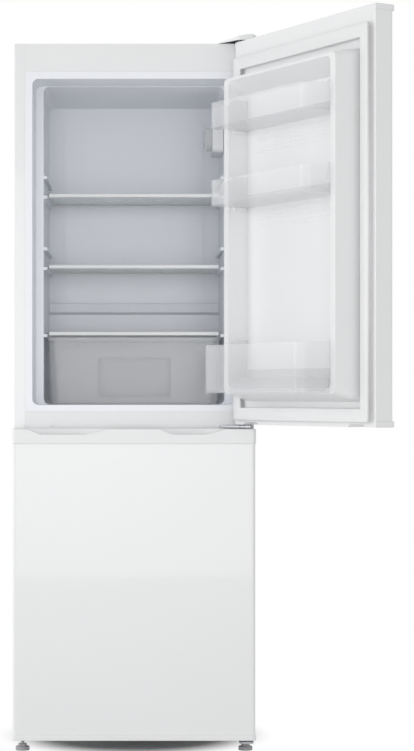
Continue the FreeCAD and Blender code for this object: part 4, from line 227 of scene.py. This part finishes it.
def surface(
    name,
    colour,
    roughness,
    mottle=0.02,
    mottle_size=0.25,
    polish_change=0.05,
    grain_size=1.2 * MM,
    grain_height=0.02 * MM,
    stretch=(1.0, 1.0, 1.0),
    metallic=0.0,
    coat=0.0,
    reflection=0.5,
):
    """An opaque finish: faint blotches of shade, uneven polish and a fine grain in relief."""
    material, graph = new_material(name)
    blotch = spread(graph, mottle_size, 4.0)
    grain = spread(graph, grain_size, 2.0, stretch)
    light = tuple(min(1.0, channel * (1.0 + mottle)) for channel in colour[:3]) + (1.0,)
    dark = tuple(channel * (1.0 - mottle) for channel in colour[:3]) + (1.0,)
    tone = blend(graph, blotch, dark, light)
    polish = roughness + (blotch - 0.5) * polish_change + (grain - 0.5) * polish_change
    relief = graph.out("ShaderNodeBump", {}, {"Height": grain, "Strength": RELIEF, "Distance": grain_height})
    shader = graph.node(
        "ShaderNodeBsdfPrincipled",
        {},
        {
            "Base Color": tone,
            "Roughness": polish,
            "Metallic": metallic,
            "Coat Weight": coat,
            "Specular IOR Level": reflection,
            "Normal": relief,
        },
    )
    graph.feed(shader, graph.node("ShaderNodeOutputMaterial"))
    return material


def clear_surface(
    name,
    colour,
    roughness,
    body,
    rim,
    rim_power,
    mottle_size=0.05,
    grain_height=0.01 * MM,
):
    """A see-through moulding: thin where it is seen face on, milky along its edges."""
    material, graph = new_material(name)
    blotch = spread(graph, mottle_size, 3.0)
    facing = graph.out("ShaderNodeLayerWeight", {}, {"Blend": 0.5}, output="Facing")
    cover = body + (rim - body) * facing**rim_power + (blotch - 0.5) * (CLEAR_COVER_CHANGE * body)
    dark = tuple(channel * (1.0 - CLEAR_MOTTLE) for channel in colour[:3]) + (1.0,)
    light = tuple(colour[:3]) + (1.0,)
    tone = blend(graph, blotch, dark, light)
    polish = roughness + (blotch - 0.5) * CLEAR_POLISH_CHANGE
    relief = graph.out(
        "ShaderNodeBump",
        {},
        {"Height": blotch, "Strength": CLEAR_RELIEF, "Distance": grain_height},
    )
    shader = graph.node(
        "ShaderNodeBsdfPrincipled",
        {},
        {"Base Color": tone, "Roughness": polish, "Alpha": cover, "IOR": REFRACTION, "Normal": relief},
    )
    graph.feed(shader, graph.node("ShaderNodeOutputMaterial"))
    return material


def wear(nodes, material):
    """Gives nodes of the frame this material on every slot."""
    for name in nodes:
        for slot in frame["nodes"][name].material_slots:
            slot.material = material


# ================================================================ shared geometry helpers
def hinge_turn(angle):
    """Matrix that turns things about the refrigerator door's hinge."""
    about_origin = Matrix.Rotation(angle, 4, "Z")
    return Matrix.Translation(HINGE_AXIS) @ about_origin @ Matrix.Translation(-HINGE_AXIS)


def corners(places):
    """Lowest and highest corner of the box round these places."""
    low = Vector(min(place[axis] for place in places) for axis in range(3))
    high = Vector(max(place[axis] for place in places) for axis in range(3))
    return low, high


def closed_box(node):
    """Box of one of the refrigerator door's nodes when that door is shut."""
    turn = hinge_turn(-DOOR_OPENING)
    return corners([turn @ vertex.co for vertex in frame["nodes"][node].data.vertices])


def swing_open(mesh):
    """Turns a mesh that was made for the shut refrigerator door to where the open door is."""
    mesh.transform(hinge_turn(DOOR_OPENING))


def new_tree(name, sizes):
    """A geometry tree with a geometry input and output, a material and these named sizes."""
    tree = bpy.data.node_groups.new(name, "GeometryNodeTree")
    graph = Graph(tree)
    tree.interface.new_socket("Geometry", in_out="INPUT", socket_type="NodeSocketGeometry")
    for size in sizes:
        kind = "NodeSocketInt" if size.endswith("Count") else "NodeSocketFloat"
        tree.interface.new_socket(size, in_out="INPUT", socket_type=kind)
    tree.interface.new_socket("Material", in_out="INPUT", socket_type="NodeSocketMaterial")
    tree.interface.new_socket("Geometry", in_out="OUTPUT", socket_type="NodeSocketGeometry")
    entry = graph.node("NodeGroupInput")
    inputs = {socket.name: Signal(graph, socket) for socket in entry.outputs if socket.name}
    return graph, inputs


def end_tree(graph, inputs, shape):
    """Ends a geometry tree in Realize Instances and Set Material."""
    real = graph.out("GeometryNodeRealizeInstances", {}, {"Geometry": shape})
    dressed = graph.out(
        "GeometryNodeSetMaterial",
        {},
        {"Geometry": real, "Material": inputs["Material"]},
    )
    graph.node("NodeGroupOutput", {}, {"Geometry": dressed})
    return graph.tree


def grown(name, seed_mesh, tree, sizes, material):
    """Runs a geometry tree over a mesh and gives the result as a plain object at the origin."""
    holder = bpy.data.objects.new(name + "_seed", seed_mesh)
    bpy.context.scene.collection.objects.link(holder)
    modifier = holder.modifiers.new("grow", "NODES")
    modifier.node_group = tree
    values = dict(sizes, Material=material)
    for item in tree.interface.items_tree:
        if item.in_out == "INPUT" and item.name in values:
            modifier[item.identifier] = values[item.name]
    holder.update_tag()
    bpy.context.view_layer.update()
    depsgraph = bpy.context.evaluated_depsgraph_get()
    mesh = bpy.data.meshes.new_from_object(holder.evaluated_get(depsgraph), depsgraph=depsgraph)
    holder.modifiers.remove(modifier)
    bpy.data.objects.remove(holder)
    outward(mesh)
    mesh.name = name
    made = bpy.data.objects.new(name, mesh)
    bpy.context.scene.collection.objects.link(made)
    return made


def outward(mesh):
    """Merges doubles and turns every face outwards."""
    shape = bmesh.new()
    shape.from_mesh(mesh)
    bmesh.ops.remove_doubles(shape, verts=shape.verts, dist=0.001 * MM)
    bmesh.ops.recalc_face_normals(shape, faces=shape.faces)
    shape.to_mesh(mesh)
    shape.free()


def points_mesh(name, places, turns):
    """A mesh of loose points, each with the turn of what will stand on it."""
    mesh = bpy.data.meshes.new(name)
    mesh.from_pydata(places, [], [])
    attribute = mesh.attributes.new("turn", "FLOAT_VECTOR", "POINT")
    for item, turn in zip(attribute.data, turns):
        item.vector = turn
    return mesh


# ================================================================ settings
class RefrigeratorStage(bpy.types.PropertyGroup):
    """Camera, floor and lamps."""

    camera_distance: FloatProperty(
        name="Camera distance",
        description="From the lens to the front of the doors",
        default=4.650,
        unit="LENGTH",
    )
    camera_height: FloatProperty(
        name="Camera height",
        description="Height of the lens above the floor",
        default=0.811,
        unit="LENGTH",
    )
    floor_size: FloatProperty(
        name="Floor size",
        description="Width of the plain floor",
        default=40.0,
        unit="LENGTH",
    )
    key_power: FloatProperty(
        name="Key lamp",
        description="Power of the large lamp on the left",
        default=44.0,
        unit="POWER",
    )
    front_power: FloatProperty(
        name="Front lamp",
        description="Power of the large lamp at the camera, which lights the open compartment",
        default=46.0,
        unit="POWER",
    )
    surround: FloatProperty(
        name="Surround",
        description="Strength of the even light from all round",
        default=0.59,
    )


class RefrigeratorFinish(bpy.types.PropertyGroup):
    """Colours of the finishes."""

    paint: FloatVectorProperty(
        name="Paint",
        description="Enamel on the sides and door fronts",
        default=(0.86, 0.865, 0.87),
        subtype="COLOR",
        size=3,
    )
    moulded: FloatVectorProperty(
        name="Moulded white",
        description="Door caps, fascia, crossbar and trims",
        default=(0.86, 0.865, 0.87),
        subtype="COLOR",
        size=3,
    )
    # A white liner, set paler and bluer than the other whites as painted light to make up for the dimmer
    # light inside the compartments.
    liner: FloatVectorProperty(
        name="Liner",
        description="Moulded inside of both compartments",
        default=(0.90, 0.915, 0.96),
        subtype="COLOR",
        size=3,
    )
    seal: FloatVectorProperty(
        name="Door seal",
        description="Soft seal round each door",
        default=(0.84, 0.845, 0.85),
        subtype="COLOR",
        size=3,
    )


class RefrigeratorDetail(bpy.types.PropertyGroup):
    """Sizes of the small parts that the frame leaves to this script."""

    seal_lip: FloatProperty(
        name="Seal lip",
        description="How far the fold of the door seal reaches past its neck",
        default=2.2 * MM,
        unit="LENGTH",
    )
    rib_count: IntProperty(
        name="Ribs",
        description="Stiffening ribs on the door liner under each balcony",
        default=5,
        min=1,
    )
    rib_pitch: FloatProperty(
        name="Rib pitch",
        description="Distance between ribs",
        default=9.0 * MM,
        unit="LENGTH",
    )
    screw_head: FloatProperty(
        name="Screw head",
        description="Radius of the hinge screws' heads",
        default=5.0 * MM,
        unit="LENGTH",
    )


# ================================================================ the stage
def area_lamp(name, offset, target, width, power):
    """A large soft lamp, square, which stands off from its target and points at it."""
    data = bpy.data.lights.new(name, "AREA")
    data.shape = "RECTANGLE"
    data.size = width
    data.size_y = width
    data.energy = power
    lamp = bpy.data.objects.new(name, data)
    bpy.context.scene.collection.objects.link(lamp)
    place = target + offset
    lamp.location = place
    lamp.rotation_euler = (target - place).to_track_quat("-Z", "Y").to_euler()


def seen_directly(graph):
    """1 for what the camera, a mirror or a clear piece sees, 0 for light that falls on things."""
    path = graph.node("ShaderNodeLightPath")
    camera = Signal(graph, path.outputs["Is Camera Ray"])
    glossy = Signal(graph, path.outputs["Is Glossy Ray"])
    through = Signal(graph, path.outputs["Is Transmission Ray"])
    return graph.sum("MAXIMUM", graph.sum("MAXIMUM", camera, glossy), through)


def white_surround(strength):
    """World that is white behind the object and an even soft light on it."""
    world = bpy.data.worlds.new("Studio_surround")
    bpy.context.scene.world = world
    world.use_nodes = True
    graph = Graph(world.node_tree)
    level = strength + (1.0 - strength) * seen_directly(graph)
    light = graph.node("ShaderNodeBackground", {}, {"Color": WHITE, "Strength": level})
    graph.feed(light, graph.node("ShaderNodeOutputWorld"))


def floor_material(centre):
    """Pale floor that keeps the soft shadow at the feet and goes over into plain white."""
    material, graph = new_material("Studio_floor")
    place = graph.out("ShaderNodeTexCoord", output="Object")
    from_centre = graph.out("ShaderNodeVectorMath", {"operation": "SUBTRACT"}, {0: place, 1: centre})
    distance = graph.out("ShaderNodeVectorMath", {"operation": "LENGTH"}, {0: from_centre}, output="Value")
    span = {"From Min": SHADOW_REACH, "From Max": SHADOW_REACH + SHADOW_FADE, "To Min": 0.0, "To Max": 1.0}
    away = graph.out(
        "ShaderNodeMapRange",
        {"interpolation_type": "SMOOTHSTEP"},
        dict(span, Value=distance),
    )
    factor = away * seen_directly(graph)
    matt = graph.out("ShaderNodeBsdfDiffuse", {}, {"Color": FLOOR_GREY})
    white = graph.out("ShaderNodeEmission", {}, {"Color": WHITE, "Strength": 1.0})
    mixed = graph.node("ShaderNodeMixShader", {}, {0: factor, 1: matt, 2: white})
    graph.feed(mixed, graph.node("ShaderNodeOutputMaterial"))
    return material


class REFRIGERATOR_OT_stage(bpy.types.Operator):
    """Adds the floor, the lamps, the surround and the camera"""

    bl_idname = "refrigerator.stage"
    bl_label = "Stage"

    def execute(self, context):
        look = context.scene.refrigerator_stage
        scene = context.scene
        scene.view_settings.view_transform = "Standard"
        low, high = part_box("top_panel")
        middle = (low.x + high.x) / 2
        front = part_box("freezer_door_skin")[0].y
        self.add_floor(look, Vector((middle, (low.y + high.y) / 2, 0.0)))
        white_surround(look.surround)
        target = Vector((middle, front, high.z / 2))
        area_lamp("Key", KEY_PLACE, target, KEY_WIDTH, look.key_power)
        area_lamp("Front", FRONT_PLACE, target, FRONT_WIDTH, look.front_power)
        self.add_camera(look, Vector((middle, front - look.camera_distance, look.camera_height)))
        return {"FINISHED"}

    def add_floor(self, look, centre):
        """A plain square of floor under the feet."""
        half = look.floor_size / 2
        mesh = bpy.data.meshes.new("Floor")
        edge = [(-half, -half, 0.0), (half, -half, 0.0), (half, half, 0.0), (-half, half, 0.0)]
        mesh.from_pydata(edge, [], [(0, 1, 2, 3)])
        floor = bpy.data.objects.new("Floor", mesh)
        bpy.context.scene.collection.objects.link(floor)
        mesh.materials.append(floor_material(centre))

    def add_camera(self, look, place):
        """The camera of the photograph: level, square to the front, framed to the right."""
        data = bpy.data.cameras.new("Camera")
        data.sensor_width = SENSOR
        data.lens = SENSOR * FOCAL_PIXELS / IMAGE_HEIGHT
        data.shift_x = (IMAGE_WIDTH / 2 - VANISHING_COLUMN) / IMAGE_HEIGHT
        data.shift_y = (HORIZON_ROW - IMAGE_HEIGHT / 2) / IMAGE_HEIGHT
        camera = bpy.data.objects.new("Camera", data)
        bpy.context.scene.collection.objects.link(camera)
        camera.location = place
        camera.rotation_euler = (math.pi / 2, 0.0, 0.0)
        bpy.context.scene.camera = camera


# ================================================================ finishes on the frame's own nodes
class REFRIGERATOR_OT_housing(bpy.types.Operator):
    """Finishes the painted sheet, the white mouldings and the liners"""

    bl_idname = "refrigerator.housing"
    bl_label = "Housing and doors"

    def execute(self, context):
        look = context.scene.refrigerator_finish
        paint = surface(
            "White_enamel",
            look.paint,
            roughness=0.30,
            mottle=0.012,
            mottle_size=0.6,
            grain_size=2.5 * MM,
            grain_height=0.02 * MM,
            coat=0.25,
        )
        wear(PAINTED_STEEL, paint)
        moulded = surface(
            "White_moulding",
            look.moulded,
            roughness=0.38,
            mottle=0.015,
            mottle_size=0.12,
            grain_size=0.9 * MM,
            grain_height=0.03 * MM,
        )
        wear(MOULDED_WHITE, moulded)
        # The liner's colour is white made paler and bluer than the other whites: painted light for the dim
        # compartments.
        liner = surface(
            "Liner_sheet",
            look.liner,
            roughness=0.33,
            mottle=0.02,
            mottle_size=0.3,
            grain_size=6.0 * MM,
            grain_height=0.05 * MM,
        )
        wear(LINER_SHEET, liner)
        door_liner = surface(
            "Door_liner_sheet",
            look.moulded,
            roughness=0.30,
            mottle=0.015,
            mottle_size=0.25,
            grain_size=6.0 * MM,
            grain_height=0.04 * MM,
        )
        wear(DOOR_LINER_SHEET, door_liner)
        foam = surface(
            "Rigid_foam",
            (0.80, 0.70, 0.42),
            roughness=0.92,
            mottle=0.15,
            mottle_size=0.03,
            grain_size=1.2 * MM,
            grain_height=0.4 * MM,
            reflection=0.2,
        )
        wear(FOAMED, foam)
        return {"FINISHED"}


class REFRIGERATOR_OT_metalwork(bpy.types.Operator):
    """Finishes the hinges, the back, the base and the cooling machinery"""

    bl_idname = "refrigerator.metalwork"
    bl_label = "Metalwork and machinery"

    def execute(self, context):
        galvanised = surface(
            "Galvanised_sheet",
            (0.60, 0.61, 0.62),
            roughness=0.42,
            mottle=0.10,
            mottle_size=0.018,
            polish_change=0.16,
            grain_size=1.5 * MM,
            grain_height=0.01 * MM,
            metallic=0.85,
        )
        wear(GALVANISED, galvanised)
        hinge = surface(
            "Plated_hinge_steel",
            (0.33, 0.34, 0.36),
            roughness=0.36,
            mottle=0.06,
            mottle_size=0.02,
            polish_change=0.12,
            grain_size=0.8 * MM,
            grain_height=0.01 * MM,
            stretch=(1.0, 6.0, 6.0),
            metallic=0.8,
        )
        wear(HINGE_METAL, hinge)
        black = surface(
            "Black_enamel",
            (0.03, 0.03, 0.032),
            roughness=0.38,
            mottle=0.2,
            mottle_size=0.05,
            polish_change=0.12,
            grain_size=2.0 * MM,
            grain_height=0.05 * MM,
        )
        wear(BLACK_STEEL, black)
        moulded = surface(
            "Black_moulding",
            (0.045, 0.045, 0.047),
            roughness=0.55,
            mottle=0.15,
            mottle_size=0.03,
            grain_size=0.8 * MM,
            grain_height=0.05 * MM,
        )
        wear(BLACK_MOULDED, moulded)
        rubber = surface(
            "Black_rubber",
            (0.025, 0.025, 0.025),
            roughness=0.8,
            mottle=0.2,
            mottle_size=0.01,
            grain_size=0.6 * MM,
            grain_height=0.05 * MM,
            reflection=0.3,
        )
        wear(SOFT_BLACK, rubber)
        feet = surface(
            "Dark_foot_moulding",
            (0.40, 0.40, 0.41),
            roughness=0.5,
            mottle=0.15,
            mottle_size=0.01,
            grain_size=0.7 * MM,
            grain_height=0.05 * MM,
        )
        wear(FEET, feet)
        nylon = surface(
            "Grey_nylon",
            (0.42, 0.42, 0.43),
            roughness=0.48,
            mottle=0.05,
            mottle_size=0.01,
            grain_size=0.7 * MM,
            grain_height=0.03 * MM,
        )
        wear(NYLON, nylon)
        copper = surface(
            "Copper_tube",
            (0.72, 0.36, 0.22),
            roughness=0.30,
            mottle=0.16,
            mottle_size=0.03,
            polish_change=0.18,
            grain_size=1.0 * MM,
            grain_height=0.01 * MM,
            metallic=1.0,
        )
        wear(("refrigerant_pipes",), copper)
        aluminium = surface(
            "Evaporator_aluminium",
            (0.78, 0.79, 0.80),
            roughness=0.38,
            mottle=0.05,
            mottle_size=0.04,
            polish_change=0.1,
            grain_size=1.0 * MM,
            grain_height=0.01 * MM,
            metallic=0.9,
        )
        wear(("freezer_evaporator",), aluminium)
        return {"FINISHED"}


class REFRIGERATOR_OT_clear_parts(bpy.types.Operator):
    """Finishes the clear balconies, drawers, shelves, lens and lamp"""

    bl_idname = "refrigerator.clear_parts"
    bl_label = "Clear parts"

    def execute(self, context):
        clear = clear_surface(
            "Clear_moulding",
            (0.93, 0.94, 0.96),
            roughness=0.10,
            body=0.20,
            rim=0.62,
            rim_power=3.0,
        )
        wear(CLEAR_MOULDINGS, clear)
        frosted = clear_surface(
            "Frosted_moulding",
            (0.84, 0.87, 0.90),
            roughness=0.28,
            body=0.42,
            rim=0.85,
            rim_power=1.8,
        )
        wear(FROSTED_MOULDINGS, frosted)
        plate = clear_surface(
            "Shelf_glass",
            (0.74, 0.84, 0.82),
            roughness=0.05,
            body=0.14,
            rim=0.70,
            rim_power=3.0,
        )
        wear(GLASS_PLATES, plate)
        lens = clear_surface(
            "Lamp_lens",
            (0.86, 0.88, 0.89),
            roughness=0.2,
            body=0.40,
            rim=0.85,
            rim_power=1.6,
        )
        wear(("lamp_lens",), lens)
        bulb = clear_surface(
            "Lamp_glass",
            (0.93, 0.92, 0.88),
            roughness=0.2,
            body=0.55,
            rim=0.85,
            rim_power=1.5,
        )
        wear(("lamp",), bulb)
        return {"FINISHED"}


# ================================================================ door seals
def seal_profile(width, depth, neck, lip):
    """Section of a door seal from the door outwards: foot, neck with a fold, and the magnet's bulb."""
    foot = 1.5 * MM
    shoulder = 1.0 * MM
    corner = 2.2 * MM
    chamfer = 0.7 * MM
    wall = (depth - foot) / 5
    waist = neck / 2
    fold = waist + lip
    half = width / 2
    right = [
        (fold, 0.0),
        (fold, foot),
        (waist, foot + 0.5 * wall),
        (fold, foot + 1.2 * wall),
        (fold, foot + 1.5 * wall),
        (waist, foot + 2.2 * wall),
        (half - shoulder, foot + 2.4 * wall),
        (half, foot + 2.9 * wall),
        (half, depth - corner),
        (half - chamfer, depth - chamfer),
        (half - corner, depth),
    ]
    left = [(-across, up) for across, up in reversed(right)]
    return right + left


def seal_tree():
    """Sweeps the section of the seal round a rectangle with mitred corners."""
    graph, inputs = new_tree("Door_seal", ("Width", "Height", "Mitre Scale"))
    path = graph.out(
        "GeometryNodeCurvePrimitiveQuadrilateral",
        {"mode": "RECTANGLE"},
        {"Width": inputs["Width"], "Height": inputs["Height"]},
    )
    section = graph.out("GeometryNodeMeshToCurve", {}, {"Mesh": inputs["Geometry"]})
    swept = graph.out(
        "GeometryNodeCurveToMesh",
        {},
        {"Curve": path, "Profile Curve": section, "Scale": inputs["Mitre Scale"]},
    )
    return end_tree(graph, inputs, swept)


def add_seal(tree, node, low, high, material, body, shut):
    """Makes one door's seal where the frame's plain one is and lets it stand for that one."""
    detail = bpy.context.scene.refrigerator_detail
    width = 28.0 * MM
    neck = 12.0 * MM
    outline = seal_profile(width, high.y - low.y, neck, detail.seal_lip)
    mesh = bpy.data.meshes.new(node + "_section")
    count = len(outline)
    edges = [(index, (index + 1) % count) for index in range(count)]
    # The sweep's sections stand on the diagonals of the corners, where the seal is wider by this factor.
    mitre = math.sqrt(2.0)
    mesh.from_pydata([(across, up / mitre, 0.0) for across, up in outline], edges, [])
    sizes = {
        "Width": high.x - low.x - width,
        "Height": high.z - low.z - width,
        "Mitre Scale": mitre,
    }
    seal = grown(body + "_seal", mesh, tree, sizes, material)
    seal.data.transform(Matrix.Rotation(math.radians(90), 4, "X"))
    nearest = min(vertex.co.y for vertex in seal.data.vertices)
    middle = (low + high) / 2
    seal.data.transform(Matrix.Translation(Vector((middle.x, low.y - nearest, middle.z))))
    if not shut:
        swing_open(seal.data)
    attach(seal, body)
    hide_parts(node)


class REFRIGERATOR_OT_seals(bpy.types.Operator):
    """Makes the folded magnetic seal of each door"""

    bl_idname = "refrigerator.seals"
    bl_label = "Door seals"

    def execute(self, context):
        look = context.scene.refrigerator_finish
        material = surface(
            "Seal_vinyl",
            look.seal,
            roughness=0.5,
            mottle=0.03,
            mottle_size=0.04,
            grain_size=0.7 * MM,
            grain_height=0.03 * MM,
        )
        tree = seal_tree()
        low, high = closed_box("fridge_door_gasket")
        add_seal(tree, "fridge_door_gasket", low, high, material, "fridge_door", False)
        low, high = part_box("freezer_door_gasket")
        add_seal(tree, "freezer_door_gasket", low, high, material, "freezer_door", True)
        return {"FINISHED"}


# ================================================================ screws
HEAD_SIDES = 28
DOME_RADIUS = 1.35
DOME_FLATNESS = 0.50
RECESS_LENGTH = 1.1
RECESS_LIFT = 0.65


def screw_tree():
    """Stands a pan head with a cross recess on every point."""
    graph, inputs = new_tree("Cross_head_screws", ("Head Radius", "Head Height", "Slot Width"))
    radius = inputs["Head Radius"]
    height = inputs["Head Height"]
    slot = inputs["Slot Width"]
    disc = graph.out(
        "GeometryNodeMeshCylinder",
        {},
        {"Vertices": HEAD_SIDES, "Radius": radius, "Depth": height},
    )
    ball = graph.out(
        "GeometryNodeMeshUVSphere",
        {},
        {"Segments": HEAD_SIDES, "Rings": HEAD_SIDES // 2, "Radius": radius * DOME_RADIUS},
    )
    dome = graph.out("GeometryNodeTransform", {}, {"Geometry": ball, "Scale": (1.0, 1.0, DOME_FLATNESS)})
    head = graph.node("GeometryNodeMeshBoolean", {"operation": "INTERSECT"})
    graph.feed(disc, head, "Mesh 2")
    graph.feed(dome, head, "Mesh 2")
    length = radius * RECESS_LENGTH
    across = graph.out("ShaderNodeCombineXYZ", {}, {"X": length, "Y": slot, "Z": height})
    along = graph.out("ShaderNodeCombineXYZ", {}, {"X": slot, "Y": length, "Z": height})
    lift = graph.out("ShaderNodeCombineXYZ", {}, {"X": 0.0, "Y": 0.0, "Z": height * RECESS_LIFT})
    cut = graph.node("GeometryNodeMeshBoolean", {"operation": "DIFFERENCE"})
    graph.feed(head, cut, "Mesh 1")
    for size in (across, along):
        bar = graph.out("GeometryNodeMeshCube", {}, {"Size": size})
        raised = graph.out("GeometryNodeTransform", {}, {"Geometry": bar, "Translation": lift})
        graph.feed(raised, cut, "Mesh 2")
    turn = graph.out("GeometryNodeInputNamedAttribute", {"data_type": "FLOAT_VECTOR"}, {"Name": "turn"})
    rotation = graph.out("FunctionNodeEulerToRotation", {}, {"Euler": turn})
    points = graph.out("GeometryNodeMeshToPoints", {}, {"Mesh": inputs["Geometry"]})
    placed = graph.out(
        "GeometryNodeInstanceOnPoints",
        {},
        {"Points": points, "Instance": Signal(graph, cut.outputs[0]), "Rotation": rotation},
    )
    return end_tree(graph, inputs, placed)


def islands(node):
    """Boxes of the separate solids that one node of the frame holds."""
    shape = bmesh.new()
    shape.from_mesh(frame["nodes"][node].data)
    bmesh.ops.remove_doubles(shape, verts=shape.verts, dist=0.01 * MM)
    shape.verts.ensure_lookup_table()
    seen = set()
    boxes = []
    for start in shape.verts:
        if start.index in seen:
            continue
        group = []
        waiting = [start]
        seen.add(start.index)
        while waiting:
            vertex = waiting.pop()
            group.append(vertex.co.copy())
            for edge in vertex.link_edges:
                other = edge.other_vert(vertex)
                if other.index not in seen:
                    seen.add(other.index)
                    waiting.append(other)
        boxes.append(corners(group))
    shape.free()
    return boxes


class REFRIGERATOR_OT_screws(bpy.types.Operator):
    """Puts cross-recessed heads on the hinge screws and along the edges of the back sheet"""

    bl_idname = "refrigerator.screws"
    bl_label = "Screws"

    def execute(self, context):
        detail = context.scene.refrigerator_detail
        material = surface(
            "Zinc_screw",
            (0.58, 0.58, 0.57),
            roughness=0.34,
            mottle=0.08,
            mottle_size=0.004,
            polish_change=0.15,
            grain_size=0.5 * MM,
            grain_height=0.01 * MM,
            metallic=0.9,
        )
        wear(("hinge_screws",), material)
        tree = screw_tree()
        height = 1.5 * MM
        over_the_frames_head = 1.02
        places = []
        turns = []
        boxes = islands("hinge_screws")
        top = max(high.z for _, high in boxes)
        for low, high in boxes:
            middle = (low + high) / 2
            if high.z > top - 2 * height:
                # The top hinge's screws are driven from above.
                places.append((middle.x, middle.y, high.z))
                turns.append((0.0, 0.0, 0.4))
            elif low.z < top / 4:
                # Those of the bottom hinge come from below.
                places.append((middle.x, middle.y, low.z))
                turns.append((math.pi, 0.0, 0.3))
            else:
                # Those of the middle hinge come from the front.
                places.append((middle.x, low.y, middle.z))
                turns.append((math.pi / 2, 0.0, 0.2))
        sizes = {
            "Head Radius": detail.screw_head * over_the_frames_head,
            "Head Height": height,
            "Slot Width": 1.1 * MM,
        }
        seed = points_mesh("hinge_screw_places", places, turns)
        heads = grown("hinge_screw_heads", seed, tree, sizes, material)
        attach(heads, "cabinet")
        self.add_back_screws(tree, material)
        return {"FINISHED"}

    def add_back_screws(self, tree, material):
        """Sheet-metal screws down both edges of the back."""
        low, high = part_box("back_panel")
        inset = 10.0 * MM
        count = 6
        span = high.z - low.z - 4 * inset
        places = []
        for index in range(count):
            height = low.z + 2 * inset + span * index / (count - 1)
            places += [(low.x + inset, high.y, height), (high.x - inset, high.y, height)]
        turns = [(-math.pi / 2, 0.0, 0.0)] * len(places)
        sizes = {"Head Radius": 4.0 * MM, "Head Height": 2.4 * MM, "Slot Width": 0.9 * MM}
        seed = points_mesh("back_screw_places", places, turns)
        heads = grown("back_panel_screws", seed, tree, sizes, material)
        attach(heads, "cabinet")


# ================================================================ ribs on the door liner
BEAD_SIDES = 14
BEAD_FLATNESS = 0.45


def rib_tree():
    """A row of low round beads, one above the other, below every point."""
    graph, inputs = new_tree("Liner_ribs", ("Rib Count", "Rib Pitch", "Rib Length", "Rib Radius"))
    bead = graph.out(
        "GeometryNodeMeshCylinder",
        {},
        {"Vertices": BEAD_SIDES, "Radius": inputs["Rib Radius"], "Depth": inputs["Rib Length"]},
    )
    lying = graph.out(
        "GeometryNodeTransform",
        {},
        {"Geometry": bead, "Rotation": (0.0, math.pi / 2, 0.0), "Scale": (1.0, BEAD_FLATNESS, 1.0)},
    )
    step = graph.out("ShaderNodeCombineXYZ", {}, {"X": 0.0, "Y": 0.0, "Z": 0.0 - inputs["Rib Pitch"]})
    row = graph.out("GeometryNodeMeshLine", {}, {"Count": inputs["Rib Count"], "Offset": step})
    ribs = graph.out("GeometryNodeInstanceOnPoints", {}, {"Points": row, "Instance": lying})
    points = graph.out("GeometryNodeMeshToPoints", {}, {"Mesh": inputs["Geometry"]})
    groups = graph.out("GeometryNodeInstanceOnPoints", {}, {"Points": points, "Instance": ribs})
    return end_tree(graph, inputs, groups)


class REFRIGERATOR_OT_ribs(bpy.types.Operator):
    """Makes the faint ribs of the door liner below each balcony"""

    bl_idname = "refrigerator.ribs"
    bl_label = "Door liner ribs"

    def execute(self, context):
        detail = context.scene.refrigerator_detail
        material = bpy.data.materials["Door_liner_sheet"]
        gap_below = 12.0 * MM
        gap_behind = 1.2 * MM
        share_of_width = 0.82
        places = []
        for node in ("balcony_upper", "balcony_middle"):
            low, high = closed_box(node)
            places.append(((low.x + high.x) / 2, low.y - gap_behind, low.z - gap_below))
        sizes = {
            "Rib Count": detail.rib_count,
            "Rib Pitch": detail.rib_pitch,
            "Rib Length": (high.x - low.x) * share_of_width,
            "Rib Radius": 1.8 * MM,
        }
        seed = points_mesh("rib_places", places, [(0.0, 0.0, 0.0)] * len(places))
        ribs = grown("door_liner_ribs", seed, rib_tree(), sizes, material)
        swing_open(ribs.data)
        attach(ribs, "fridge_door")
        return {"FINISHED"}


# ================================================================ sidebar and start
OPERATORS = (
    REFRIGERATOR_OT_stage,
    REFRIGERATOR_OT_housing,
    REFRIGERATOR_OT_metalwork,
    REFRIGERATOR_OT_clear_parts,
    REFRIGERATOR_OT_seals,
    REFRIGERATOR_OT_screws,
    REFRIGERATOR_OT_ribs,
)
SETTINGS = {
    "refrigerator_stage": RefrigeratorStage,
    "refrigerator_finish": RefrigeratorFinish,
    "refrigerator_detail": RefrigeratorDetail,
}


class REFRIGERATOR_PT_parts(bpy.types.Panel):
    """Lists what the script can make"""

    bl_idname = "REFRIGERATOR_PT_parts"
    bl_label = "Refrigerator"
    bl_space_type = "VIEW_3D"
    bl_region_type = "UI"
    bl_category = "Refrigerator"

    def draw(self, context):
        for operator in OPERATORS:
            self.layout.operator(operator.bl_idname)
        for name, group in SETTINGS.items():
            box = self.layout.box()
            box.label(text=group.__doc__)
            for setting in group.__annotations__:
                box.prop(getattr(context.scene, name), setting)


def register():
    for name, group in SETTINGS.items():
        bpy.utils.register_class(group)
        setattr(bpy.types.Scene, name, PointerProperty(type=group))
    for kind in OPERATORS + (REFRIGERATOR_PT_parts,):
        bpy.utils.register_class(kind)


def unregister():
    for kind in (REFRIGERATOR_PT_parts,) + OPERATORS[::-1]:
        bpy.utils.unregister_class(kind)
    for name, group in SETTINGS.items():
        delattr(bpy.types.Scene, name)
        bpy.utils.unregister_class(group)


def main():
    register()
    bpy.ops.refrigerator.stage()
    bpy.ops.refrigerator.housing()
    bpy.ops.refrigerator.metalwork()
    bpy.ops.refrigerator.clear_parts()
    bpy.ops.refrigerator.seals()
    bpy.ops.refrigerator.screws()
    bpy.ops.refrigerator.ribs()


if __name__ == "__main__":
    main()
